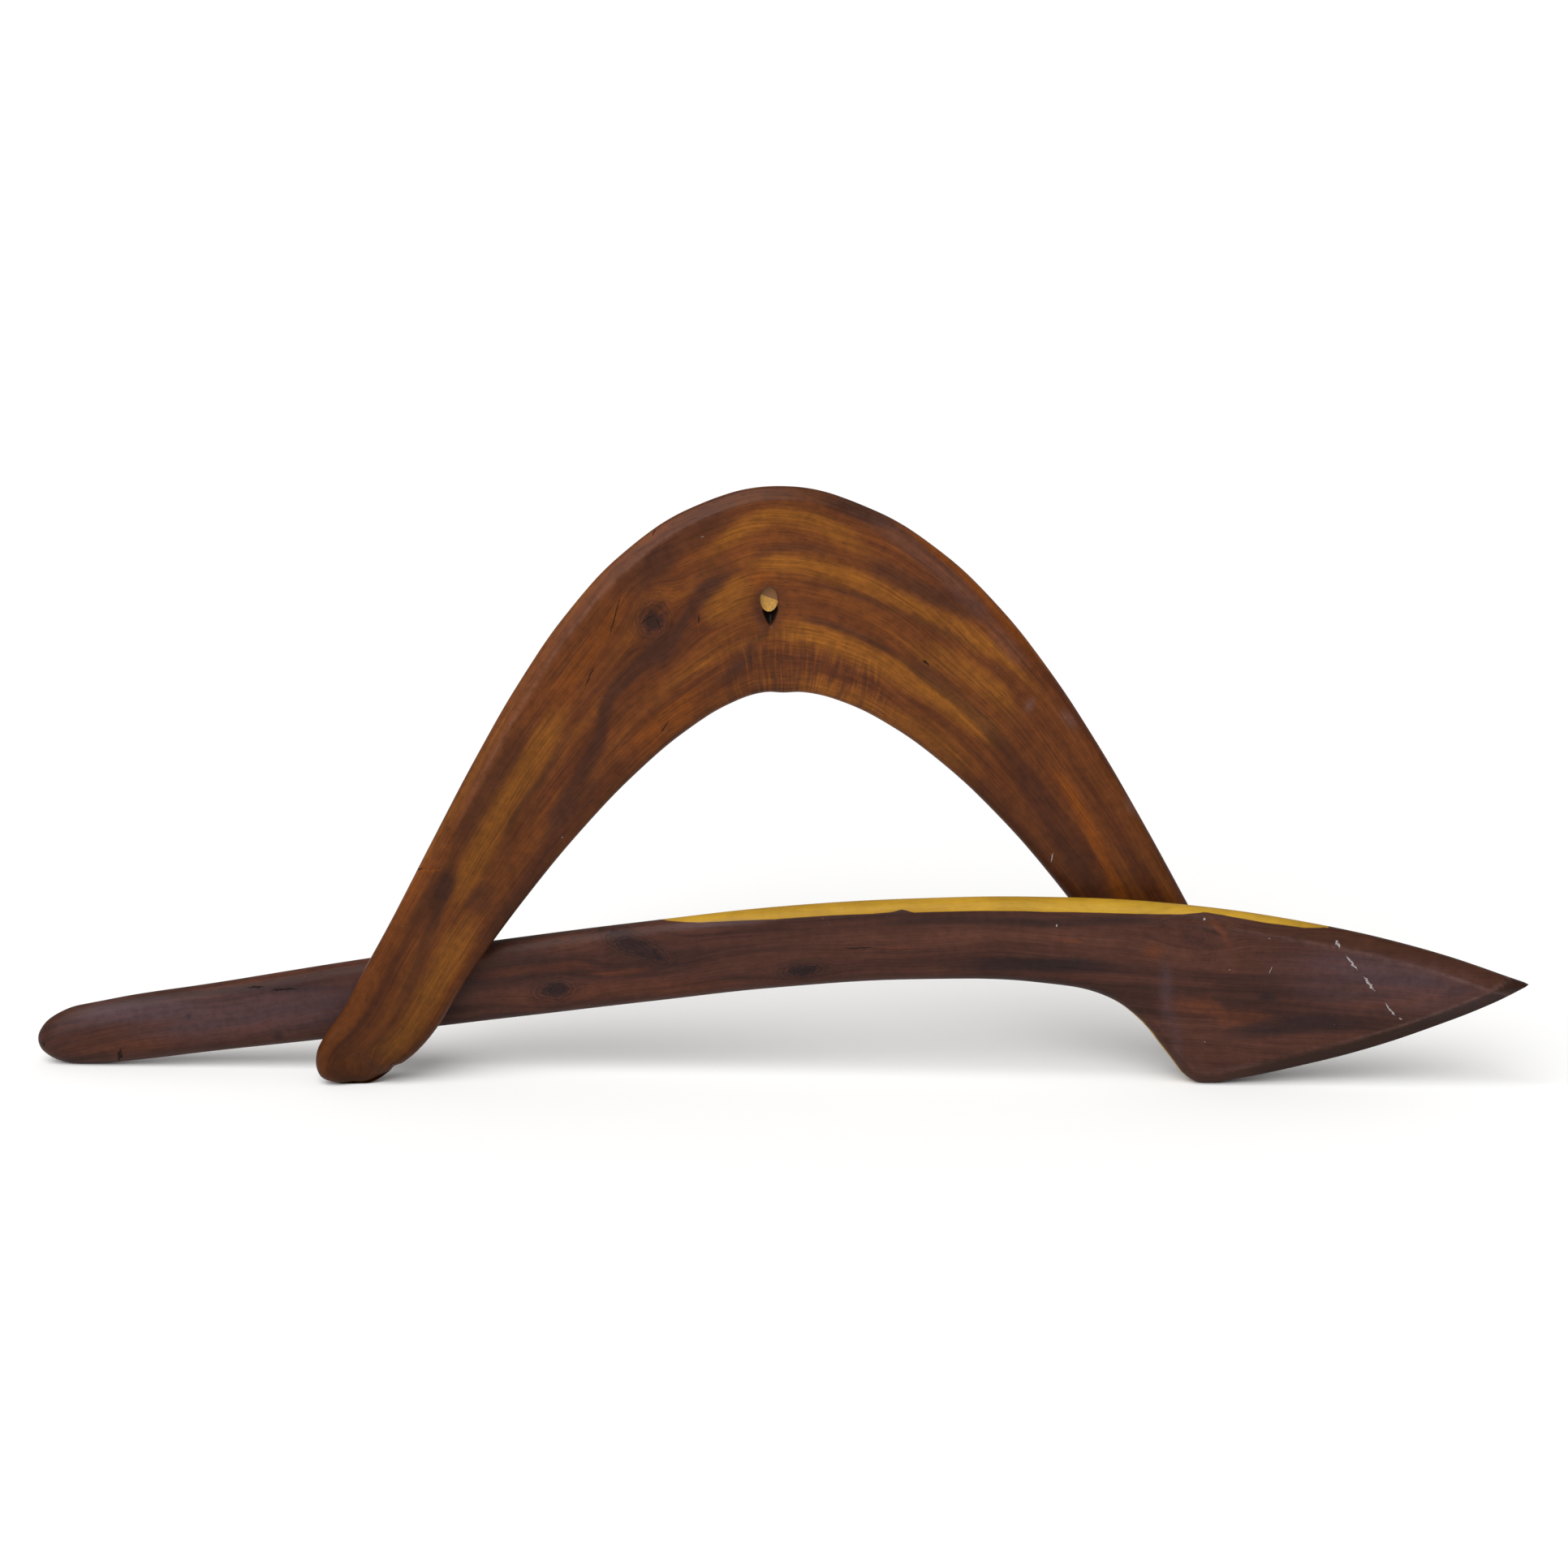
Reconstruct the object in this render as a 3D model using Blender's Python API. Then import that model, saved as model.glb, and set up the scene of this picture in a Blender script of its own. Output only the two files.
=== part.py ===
"""A pair of carved hardwood boomerangs that stand crossed on a flat surface.

The bent (returning) boomerang stands on its two feet like an arch. The long hooked one stands on its butt
and its barb and passes through that arch: behind the left arm, and in front of the right arm. The bent one
leans back against the shaft and lifts off in its own plane. A pale plug closes its knot hole.

Frame: metres, +Z up, fronts towards -Y. The origin is on the surface, under the centre of the pair's box.
"""

import math

import bmesh
import bpy
from mathutils import Matrix, Vector
from mathutils.bvhtree import BVHTree

# Bent boomerang: two arms, each from the elbow down to its foot.
LEFT_REACH = 0.2190
RIGHT_REACH = 0.2285
CROWN_HEIGHT = 0.2530
ELBOW_WIDTH = 0.1045
ANKLE_WIDTH = 0.044
FOOT_WIDTH = 0.042
FOOT_CAP = 0.014
BENT_THICKNESS = 0.013
BENT_EDGE_ROUND = 0.0055

# Knot hole in the elbow: an oval bore, a pit below it, and the plug inside, placed from the crown's middle.
KNOT_X = -0.007
KNOT_Z = -0.004
BORE_WIDTH = 0.0094
BORE_HEIGHT = 0.0130
PIT_WIDTH = 0.0075
PIT_DROP = 0.0088
PIT_HEIGHT = 0.0120
PIT_DEPTH = 0.0065
PLUG_GAP = 0.0003
PLUG_RECESS = 0.0030

# Hooked boomerang: a back line from butt to beak, and the depth of wood below it.
HOOKED_LENGTH = 0.762
CREST_HEIGHT = 0.0962
GRIP_DEPTH = 0.0332
SHAFT_DEPTH = 0.0428
THROAT_DEPTH = 0.0455
HEAD_DEPTH = 0.0935
HOOK_RUN = 0.081
BEAK_LENGTH = 0.163
BUTT_CAP = 0.032
HOOKED_THICKNESS = 0.015
HOOKED_EDGE_ROUND = 0.0060

# How the pair stands.
BENT_OFFSET = 0.3856
BENT_YAW = math.radians(3.0)
BENT_LEAN = math.radians(2.7)
HOOKED_YAW = math.radians(3.0)
HOOKED_LEAN = math.radians(2.7)
LEAN_START = -0.006
LEAN_TRAVEL = 0.018
TOUCH_GAP = 0.0005
FOOT_WEAR = 0.0005

# An arm's middle line is one smooth curve from the crown to the ankle, drawn by two handles. The ankle and
# the handles are shares of the arm's reach and of the crown's height. A handle also pulls the arm's width.
ANKLE = (0.927, 0.125)
LEFT_HANDLES = ((0.32, 1.005, 0.099), (0.615, 0.57, 0.052))
RIGHT_HANDLES = ((0.32, 0.98, 0.092), (0.615, 0.625, 0.050))
ARM_STEPS = 8
# Shares of length and of crest height along the back line, from the butt to the beak.
BACK_LINE = (
    (0.042, 0.344),
    (0.130, 0.470),
    (0.220, 0.600),
    (0.330, 0.740),
    (0.417, 0.840),
    (0.504, 0.929),
    (0.600, 0.985),
    (0.680, 1.000),
    (0.761, 0.974),
    (0.848, 0.884),
    (0.933, 0.730),
    (1.000, 0.550),
)
# How far the depth has grown from the grip's to the shaft's, below each of the back line's first stations.
GRIP_SWELL = (0.0, 0.37, 0.75, 0.95, 1.0, 1.0, 1.0)
# Shares of the hook's run and drop from throat to barb, and of the beak's length and rise from barb to tip.
HOOK_CURVE = ((0.38, 0.12), (0.58, 0.33), (0.79, 0.73), (0.90, 0.935))
BEAK_EDGE = ((0.10, 0.04), (0.30, 0.18), (0.50, 0.35), (0.70, 0.57), (0.895, 0.825))

CAP_ANGLES = (-60, -25, 0, 25, 60)
CURVE_STEPS = 4
BEVEL_STEPS = 2
BORE_SIDES = 20
SHARP_ANGLE = 35
LEVEL_ROUNDS = 4
BISECT_ROUNDS = 20
MERGE = 0.00002
CUT_MARGIN = 0.01


def clear_scene():
    """Removes whatever the file held."""
    for obj in list(bpy.data.objects):
        bpy.data.objects.remove(obj)


def collection(name):
    """A new collection in the scene."""
    made = bpy.data.collections.new(name)
    bpy.context.scene.collection.children.link(made)
    return made


def wood(name, colour, roughness):
    """A plain wood finish."""
    made = bpy.data.materials.new(name)
    made.use_nodes = True
    shader = made.node_tree.nodes["Principled BSDF"]
    shader.inputs["Base Color"].default_value = (*colour, 1.0)
    shader.inputs["Roughness"].default_value = roughness
    shader.inputs["Metallic"].default_value = 0.0
    return made


def between(first, second, share):
    """The value that share of the way from first to second."""
    return first + (second - first) * share


def cap_points(centre, along, half_width, length):
    """The round end of a blade: points from one side, over the tip, to the other side."""
    across = Vector((along.y, -along.x))
    angles = [math.radians(angle) for angle in CAP_ANGLES]
    return [
        centre + along * length * math.cos(a) + across * half_width * math.sin(a)
        for a in angles
    ]


def curve_point(controls, share):
    """The point at that share of the smooth curve that four controls draw."""
    rest = 1 - share
    weights = (rest**3, 3 * rest**2 * share, 3 * rest * share**2, share**3)
    return sum((control * weight for control, weight in zip(controls, weights)), Vector((0.0, 0.0, 0.0)))


def arm_edges(reach, side, handles):
    """One arm's outer edge, foot and inner edge, each in order down the arm or clockwise round the foot."""
    controls = [
        Vector((side * reach * x, CROWN_HEIGHT * z, width))
        for x, z, width in ((0.0, 1.0, ELBOW_WIDTH), *handles, (*ANKLE, ANKLE_WIDTH))
    ]
    stations = [curve_point(controls, step / ARM_STEPS) for step in range(ARM_STEPS + 1)]
    spine = [station.xy for station in stations]
    ankle = Vector((side * reach, FOOT_CAP))
    line = [*spine, ankle]
    outer, inner = [], []
    for i in range(1, len(spine)):
        along = (line[i + 1] - line[i - 1]).normalized()
        across = Vector((-along.y, along.x)) * side * stations[i].z / 2
        outer.append(spine[i] + across)
        inner.append(spine[i] - across)
    return outer, cap_points(ankle, Vector((0.0, -1.0)), FOOT_WIDTH / 2, FOOT_CAP), inner


def bent_outline():
    """The bent boomerang's edge, clockwise from the crown, as (points, places of the sharp ones)."""
    right_outer, right_foot, right_inner = arm_edges(RIGHT_REACH, 1.0, RIGHT_HANDLES)
    left_outer, left_foot, left_inner = arm_edges(LEFT_REACH, -1.0, LEFT_HANDLES)
    crown = Vector((0.0, CROWN_HEIGHT + ELBOW_WIDTH / 2))
    arch = Vector((0.0, CROWN_HEIGHT - ELBOW_WIDTH / 2))
    points = [crown, *right_outer, *right_foot, *right_inner[::-1], arch]
    points += [*left_inner, *left_foot, *left_outer[::-1]]
    return points, ()


def back_height(x):
    """Height of the back line at x, by straight lines between its stations."""
    stations = [(HOOKED_LENGTH * a, CREST_HEIGHT * b) for a, b in BACK_LINE]
    for (x0, z0), (x1, z1) in zip(stations, stations[1:]):
        if x <= x1:
            return between(z0, z1, (x - x0) / (x1 - x0))
    return stations[-1][1]


def hooked_outline():
    """The hooked boomerang's edge, clockwise from the butt, as (points, places of the sharp ones)."""
    back = [Vector((HOOKED_LENGTH * a, CREST_HEIGHT * b)) for a, b in BACK_LINE]
    tip = back[-1]
    barb_x = HOOKED_LENGTH - BEAK_LENGTH
    barb = Vector((barb_x, back_height(barb_x) - HEAD_DEPTH))
    throat_x = barb_x - HOOK_RUN
    throat = Vector((throat_x, back_height(throat_x) - THROAT_DEPTH))
    beak = [
        Vector((barb.x + BEAK_LENGTH * a, between(barb.y, tip.y, b))) for a, b in BEAK_EDGE
    ]
    hook = [
        Vector((throat.x + HOOK_RUN * a, between(throat.y, barb.y, b))) for a, b in HOOK_CURVE
    ]
    belly = [
        point - Vector((0.0, between(GRIP_DEPTH, SHAFT_DEPTH, share)))
        for point, share in zip(back, GRIP_SWELL)
        if point.x < throat.x - HOOK_RUN / 2
    ]
    middle = (back[0] + belly[0]) / 2
    along = (back[0] - back[1]).normalized()
    cap = cap_points(middle, along, GRIP_DEPTH / 2, BUTT_CAP)
    points = [*cap, *back, *beak[::-1], barb, *hook[::-1], throat, *belly[::-1]]
    return points, (len(cap) + len(back) - 1,)


def plank(name, outline, thickness, edge_round, group):
    """A flat blade with rounded edges, cut to an outline, as a mesh that stands upright."""
    points, sharp = outline
    curve = bpy.data.curves.new(name, "CURVE")
    curve.dimensions = "2D"
    curve.fill_mode = "BOTH"
    curve.resolution_u = CURVE_STEPS
    curve.extrude = thickness / 2 - edge_round
    curve.bevel_depth = edge_round
    curve.bevel_resolution = BEVEL_STEPS
    curve.offset = -edge_round
    spline = curve.splines.new("BEZIER")
    spline.use_cyclic_u = True
    spline.bezier_points.add(len(points) - 1)
    for index, (knot, point) in enumerate(zip(spline.bezier_points, points)):
        knot.co = (point.x, point.y, 0.0)
        kind = "VECTOR" if index in sharp else "AUTO"
        knot.handle_left_type = kind
        knot.handle_right_type = kind
    guide = bpy.data.objects.new(name + "_guide", curve)
    group.objects.link(guide)
    graph = bpy.context.evaluated_depsgraph_get()
    mesh = bpy.data.meshes.new_from_object(guide.evaluated_get(graph))
    bpy.data.objects.remove(guide)
    mesh.transform(Matrix.Rotation(math.pi / 2, 4, "X"))
    level(mesh)
    shape = bmesh.new()
    shape.from_mesh(mesh)
    bmesh.ops.remove_doubles(shape, verts=shape.verts, dist=MERGE)
    bmesh.ops.recalc_face_normals(shape, faces=shape.faces)
    shape.to_mesh(mesh)
    shape.free()
    mesh.shade_smooth()
    mesh.set_sharp_from_angle(angle=math.radians(SHARP_ANGLE))
    obj = bpy.data.objects.new(name, mesh)
    group.objects.link(obj)
    return obj


def level(mesh):
    """Turns a blade in its own plane until its two lowest ends are level, and sets them at height 0."""
    middle = sum(v.co.x for v in mesh.vertices) / len(mesh.vertices)
    for _ in range(LEVEL_ROUNDS):
        left = min((v.co for v in mesh.vertices if v.co.x < middle), key=lambda p: p.z)
        right = min((v.co for v in mesh.vertices if v.co.x > middle), key=lambda p: p.z)
        slope = math.atan2(right.z - left.z, right.x - left.x)
        mesh.transform(Matrix.Rotation(slope, 4, "Y"))
    lowest = min(v.co.z for v in mesh.vertices)
    mesh.transform(Matrix.Translation((0.0, 0.0, -lowest)))


def world_tree(obj):
    """The object's surface in world space, for touch tests."""
    points = [obj.matrix_world @ v.co for v in obj.data.vertices]
    return BVHTree.FromPolygons(points, [list(p.vertices) for p in obj.data.polygons])


def lean_on(mover, other, travel):
    """Moves mover along its own thickness towards other, until only the touch gap is left."""
    inwards = mover.matrix_world.to_3x3() @ Vector((0.0, 1.0, 0.0))
    start = mover.location.copy()
    fixed = world_tree(other)
    near, far = 0.0, travel
    for _ in range(BISECT_ROUNDS):
        middle = (near + far) / 2
        mover.location = start + inwards * middle
        bpy.context.view_layer.update()
        if world_tree(mover).overlap(fixed):
            far = middle
        else:
            near = middle
    mover.location = start + inwards * (near - TOUCH_GAP)
    bpy.context.view_layer.update()


def stand(obj, x, y, lean, yaw):
    """Sets a blade on the surface, worn into it by the foot wear, at this lean and yaw."""
    obj.rotation_euler = (lean, 0.0, yaw)
    obj.location = (x, y, 0.0)
    bpy.context.view_layer.update()
    lowest = min((obj.matrix_world @ v.co).z for v in obj.data.vertices)
    obj.location.z = -lowest - FOOT_WEAR
    bpy.context.view_layer.update()


def cut(obj, cutter, name):
    """Takes the cutter's shape out of a blade."""
    modifier = obj.modifiers.new(name, "BOOLEAN")
    modifier.operation = "DIFFERENCE"
    modifier.solver = "EXACT"
    modifier.object = cutter


def oval_rod(name, width, height, front, back, group):
    """An oval rod that runs through the thickness, from y = front to y = back."""
    shape = bmesh.new()
    bmesh.ops.create_cone(
        shape,
        cap_ends=True,
        segments=BORE_SIDES,
        radius1=0.5,
        radius2=0.5,
        depth=back - front,
        matrix=Matrix.Rotation(math.pi / 2, 4, "X"),
    )
    bmesh.ops.scale(shape, vec=(width, 1.0, height), verts=shape.verts)
    bmesh.ops.translate(shape, vec=(0.0, (front + back) / 2, 0.0), verts=shape.verts)
    return finish_mesh(name, shape, group)


def knot_pit(name, front, group):
    """The cutter for the pit: a cone that narrows into the wood."""
    shape = bmesh.new()
    length = PIT_DEPTH + CUT_MARGIN
    mouth = length / PIT_DEPTH / 2
    bmesh.ops.create_cone(
        shape,
        cap_ends=True,
        segments=BORE_SIDES,
        radius1=mouth,
        radius2=0.0,
        depth=length,
        matrix=Matrix.Rotation(-math.pi / 2, 4, "X"),
    )
    bmesh.ops.scale(shape, vec=(PIT_WIDTH, 1.0, PIT_HEIGHT), verts=shape.verts)
    middle = front + PIT_DEPTH - length / 2
    bmesh.ops.translate(shape, vec=(0.0, middle, -PIT_DROP), verts=shape.verts)
    return finish_mesh(name, shape, group)


def floor_block(name, group):
    """The cutter for the worn feet: everything below the surface."""
    shape = bmesh.new()
    bmesh.ops.create_cube(shape, size=1.0)
    side = 2.0 * HOOKED_LENGTH
    bmesh.ops.scale(shape, vec=(side, side, CUT_MARGIN), verts=shape.verts)
    bmesh.ops.translate(shape, vec=(0.0, 0.0, -CUT_MARGIN / 2), verts=shape.verts)
    return finish_mesh(name, shape, group)


def finish_mesh(name, shape, group):
    """A new object with the shape's mesh."""
    bmesh.ops.recalc_face_normals(shape, faces=shape.faces)
    mesh = bpy.data.meshes.new(name)
    shape.to_mesh(mesh)
    shape.free()
    obj = bpy.data.objects.new(name, mesh)
    group.objects.link(obj)
    return obj


def hide_cutter(obj):
    """Marks a helper that isn't part of the object."""
    obj.hide_render = True
    obj.display_type = "WIRE"


def centre_on_origin(parts, root):
    """Moves the root so that the pair's box is centred over the origin."""
    corners = [p.matrix_world @ v.co for p in parts for v in p.data.vertices]
    for axis in (0, 1):
        values = [c[axis] for c in corners]
        root.location[axis] = -(min(values) + max(values)) / 2
    bpy.context.view_layer.update()


def main():
    """Builds the pair."""
    clear_scene()
    pair = collection("boomerang_pair")
    cutters = collection("cutters")
    root = bpy.data.objects.new("stand_point", None)
    pair.objects.link(root)

    hooked = plank(
        "hooked_boomerang", hooked_outline(), HOOKED_THICKNESS, HOOKED_EDGE_ROUND, pair
    )
    bent = plank("bent_boomerang", bent_outline(), BENT_THICKNESS, BENT_EDGE_ROUND, pair)
    hooked.parent = root
    bent.parent = root
    hooked.data.transform(Matrix.Translation((-BENT_OFFSET, 0.0, 0.0)))
    stand(hooked, 0.0, 0.0, HOOKED_LEAN, -HOOKED_YAW)
    stand(bent, 0.0, LEAN_START, -BENT_LEAN, BENT_YAW)
    lean_on(bent, hooked, LEAN_TRAVEL)

    front, back = -BENT_THICKNESS / 2, BENT_THICKNESS / 2
    knot = Vector((KNOT_X, 0.0, CROWN_HEIGHT + KNOT_Z))
    bore = oval_rod(
        "bore_cutter", BORE_WIDTH, BORE_HEIGHT, front - CUT_MARGIN, back + CUT_MARGIN, cutters
    )
    pit = knot_pit("pit_cutter", front, cutters)
    plug = oval_rod(
        "knot_plug",
        BORE_WIDTH - 2 * PLUG_GAP,
        BORE_HEIGHT - 2 * PLUG_GAP,
        front + PLUG_RECESS,
        back,
        pair,
    )
    for helper in (bore, pit, plug):
        helper.parent = bent
        helper.location = knot
    floor = floor_block("floor_cutter", cutters)
    for helper in (bore, pit, floor):
        hide_cutter(helper)
    cut(bent, bore, "knot_bore")
    cut(bent, pit, "knot_pit")
    cut(bent, floor, "worn_feet")
    cut(hooked, floor, "worn_feet")

    hooked.data.materials.append(wood("dark_heartwood", (0.085, 0.030, 0.020), 0.42))
    bent.data.materials.append(wood("red_heartwood", (0.190, 0.062, 0.016), 0.38))
    plug.data.materials.append(wood("pale_plug", (0.380, 0.190, 0.035), 0.55))
    bpy.context.view_layer.update()
    centre_on_origin((hooked, bent), root)


main()
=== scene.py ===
"""A crossed pair of carved hardwood boomerangs, in detail, over the fixed CAD frame.

The bent boomerang leans on the long hooked one. Each blade is a skin laid between its two rails, the long
edges that the CAD node has at mid thickness, with the tool marks, cracks and knots of the real wood.
"""

import logging
import math
from dataclasses import dataclass
from enum import Enum

import bmesh
import bpy
import numpy as np
from mathutils import Euler, Matrix, Vector, noise


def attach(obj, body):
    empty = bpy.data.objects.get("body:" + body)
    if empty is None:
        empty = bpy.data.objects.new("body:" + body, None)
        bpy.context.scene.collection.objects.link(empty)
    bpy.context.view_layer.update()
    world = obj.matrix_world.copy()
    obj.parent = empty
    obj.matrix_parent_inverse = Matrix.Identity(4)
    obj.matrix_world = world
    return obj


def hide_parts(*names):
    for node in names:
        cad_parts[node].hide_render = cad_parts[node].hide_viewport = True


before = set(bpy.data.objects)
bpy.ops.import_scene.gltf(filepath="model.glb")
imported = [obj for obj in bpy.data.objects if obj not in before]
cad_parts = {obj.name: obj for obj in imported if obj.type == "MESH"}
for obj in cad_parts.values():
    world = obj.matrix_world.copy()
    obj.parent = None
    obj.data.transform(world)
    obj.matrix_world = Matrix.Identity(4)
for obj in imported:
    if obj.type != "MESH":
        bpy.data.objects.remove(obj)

LOG = logging.getLogger("boomerang_pair")
MM = 0.001
WELD = 0.00002
NEXT_POINT = 0.2 * MM
LEAST_TURN = 0.02
CHUNK = 2000
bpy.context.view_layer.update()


class Tone(Enum):
    """The four ways in which a streak can change the colour: three of the wood's own tones, and a painted
    sheen.
    """

    LIGHT = 0
    DARK = 1
    WARM = 2
    # A painted sheen: pale reflections of the room laid into the colour.
    PAINTED_SHEEN = 3


@dataclass(frozen=True)
class Stance:
    """How a blade stands: the place of its own origin, its lean and its yaw, in metres and degrees."""

    place: tuple[float, float, float]
    lean: float
    yaw: float

    def matrix(self) -> Matrix:
        """The transform from the blade's own upright plane to the pair's frame."""
        turn = Euler((math.radians(self.lean), 0.0, math.radians(self.yaw))).to_matrix()
        return Matrix.Translation(self.place) @ turn.to_4x4()


@dataclass(frozen=True)
class EdgeForm:
    """How an edge is worked at one share of its length: width in metres, and 0 round to 1 chamfered."""

    share: float
    width: float
    crisp: float


@dataclass(frozen=True)
class Streak:
    """A streak of colour along the grain: (share along, share across) points, half width in metres."""

    tone: Tone
    path: tuple[tuple[float, float], ...]
    half_width: float
    strength: float = 1.0


@dataclass(frozen=True)
class Patch:
    """A soft patch of colour: middle in the blade's own plane, half sizes in metres, turn in degrees."""

    tone: Tone
    x: float
    z: float
    half_long: float
    half_wide: float
    turn: float = 0.0
    strength: float = 1.0


@dataclass(frozen=True)
class Knot:
    """A knot: middle in the blade's own plane, half sizes in metres, turn in degrees, and strengths."""

    x: float
    z: float
    half_long: float
    half_wide: float
    turn: float
    core: float = 1.0
    rings: float = 1.0


class Mark(Enum):
    """What a small mark on the wood is."""

    CRACK = "crack"
    SCRATCH = "scratch"
    FLECK = "fleck"


@dataclass(frozen=True)
class Trace:
    """A small mark: middle in the blade's own plane, length and width in metres, turn in degrees."""

    kind: Mark
    x: float
    z: float
    length: float
    width: float
    turn: float


@dataclass
class Field:
    """The blade's own coordinates at every vertex, as arrays in the order of the vertices."""

    share: np.ndarray
    across: np.ndarray
    width: np.ndarray
    x: np.ndarray
    z: np.ndarray
    outer: np.ndarray
    inner: np.ndarray
    back: np.ndarray


def node_outline(node: str, stance: Stance) -> np.ndarray:
    """Reads the edge of a CAD blade at mid thickness.

    Args:
        node: The CAD node's name.
        stance: How that blade stands.

    Returns:
        Points (x, z) in the blade's own plane, about 1 mm apart, in order round the edge.
    """
    shape = bmesh.new()
    shape.from_mesh(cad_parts[node].data)
    bmesh.ops.remove_doubles(shape, verts=shape.verts, dist=WELD)
    bmesh.ops.transform(shape, matrix=stance.matrix().inverted(), verts=shape.verts)
    geometry = [*shape.verts, *shape.edges, *shape.faces]
    bmesh.ops.bisect_plane(
        shape, geom=geometry, plane_co=(0, 0, 0), plane_no=(0, 1, 0), clear_inner=True, clear_outer=True
    )
    bmesh.ops.remove_doubles(shape, verts=shape.verts, dist=NEXT_POINT)
    first = min(shape.verts, key=lambda v: v.co.x)
    loop, edge, here = [first], first.link_edges[0], first
    while True:
        here = edge.other_vert(here)
        if here is first:
            break
        loop.append(here)
        edge = next(e for e in here.link_edges if e is not edge)
    points = np.array([(v.co.x, v.co.z) for v in loop])
    shape.free()
    return smooth_loop(points[turns(points) > LEAST_TURN])


def turns(points: np.ndarray) -> np.ndarray:
    """How far a closed loop turns at each of its points, in degrees.

    Args:
        points: Points as rows of (x, z).

    Returns:
        One turn for each point.
    """
    step = np.roll(points, -1, 0) - points
    heading = np.degrees(np.arctan2(step[:, 1], step[:, 0]))
    return np.abs((heading - np.roll(heading, 1) + 180) % 360 - 180)


def smooth_loop(points: np.ndarray, corner: float = 40.0) -> np.ndarray:
    """Lays a smooth curve through a closed loop of points, with its corners kept.

    Args:
        points: The loop's points, in order.
        corner: The turn in degrees past which a point stays a corner.

    Returns:
        The loop's points about 1 mm apart.
    """
    turn = turns(points)
    corners = np.flatnonzero(turn > corner)
    if len(corners):
        points = np.roll(points, -corners[0], 0)
        turn = np.roll(turn, -corners[0])
        marks = [*np.flatnonzero(turn > corner), len(points)]
        closed = np.vstack([points, points[:1]])
        spans = [closed[a : b + 1] for a, b in zip(marks, marks[1:])]
        return np.vstack([smooth_span(span)[:-1] for span in spans])
    dense = smooth_span(np.vstack([points[-3:], points, points[:4]]))
    start = int(np.argmin(np.hypot(*(dense - points[0]).T)))
    on = start + 50
    again = on + int(np.argmin(np.hypot(*(dense[on:] - points[0]).T)))
    return dense[start:again]


def smooth_span(points: np.ndarray) -> np.ndarray:
    """A smooth open curve through points, sampled about every millimetre.

    Args:
        points: Points as rows of (x, z).

    Returns:
        The curve's points.
    """
    gap = np.hypot(*np.diff(points, axis=0).T)
    slope = np.diff(points, axis=0) / gap[:, None]
    tangent = np.vstack([slope[:1], slope, slope[-1:]])
    before, after = np.r_[gap[0], gap], np.r_[gap, gap[-1]]
    weight = (after / (before + after))[:, None]
    tangent = tangent[:-1] * weight + tangent[1:] * (1 - weight)
    pieces = []
    for i, length in enumerate(gap):
        t = np.linspace(0, 1, max(2, int(length / MM) + 1), endpoint=False)[:, None]
        pieces.append(
            points[i] * (2 * t**3 - 3 * t**2 + 1)
            + tangent[i] * length * (t**3 - 2 * t**2 + t)
            + points[i + 1] * (3 * t**2 - 2 * t**3)
            + tangent[i + 1] * length * (t**3 - t**2)
        )
    return np.vstack([*pieces, points[-1:]])


def length_of(path: np.ndarray) -> float:
    """The length of an open path."""
    return float(np.hypot(*np.diff(path, axis=0).T).sum())


def resample(path: np.ndarray, shares: np.ndarray) -> np.ndarray:
    """The points at these shares of a path's length.

    Args:
        path: The path, as rows of (x, z).
        shares: Shares of its length, 0 to 1.

    Returns:
        One point for each share.
    """
    along = np.r_[0, np.cumsum(np.hypot(*np.diff(path, axis=0).T))]
    along /= along[-1]
    return np.column_stack([np.interp(shares, along, path[:, k]) for k in (0, 1)])


def distance_to(points: np.ndarray, path: np.ndarray) -> np.ndarray:
    """The distance of each point from an open path.

    Args:
        points: Points as rows of (x, z).
        path: The path, as rows of (x, z).

    Returns:
        One distance in metres for each point.
    """
    start, step = path[:-1], np.diff(path, axis=0)
    length = np.maximum((step**2).sum(1), 1e-12)
    found = np.empty(len(points))
    for at in range(0, len(points), CHUNK):
        offset = points[at : at + CHUNK, None] - start
        share = np.clip((offset * step).sum(2) / length, 0, 1)
        found[at : at + CHUNK] = np.sqrt(((offset - share[..., None] * step) ** 2).sum(2)).min(1)
    return found


def ease(value: np.ndarray) -> np.ndarray:
    """A smooth step from 0 to 1."""
    value = np.clip(value, 0, 1)
    return value * value * (3 - 2 * value)


def ripple(x: np.ndarray, z: np.ndarray, size: float, seed: float) -> np.ndarray:
    """Gentle hand-tool unevenness, from -1 to 1, with lumps of about this size in metres."""
    return np.array([noise.noise(Vector((a / size, b / size, seed))) for a, b in zip(x, z)])


def worked(share: np.ndarray, forms: tuple[EdgeForm, ...]) -> tuple[np.ndarray, np.ndarray]:
    """The width of an edge's worked band at each share of the length, and how crisp it is.

    Args:
        share: Share along the blade.
        forms: How the edge is worked along the blade.

    Returns:
        The widths in metres, and the crispness from 0 to 1.
    """
    stations = [form.share for form in forms]
    width = np.interp(share, stations, [form.width for form in forms])
    return width, np.interp(share, stations, [form.crisp for form in forms])


def link_mesh(name: str, mesh: bpy.types.Mesh) -> bpy.types.Object:
    """Puts a mesh in the scene as a new object."""
    obj = bpy.data.objects.new(name, mesh)
    bpy.context.scene.collection.objects.link(obj)
    return obj


Colour = tuple[float, float, float]
Socket = bpy.types.NodeSocket


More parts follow.
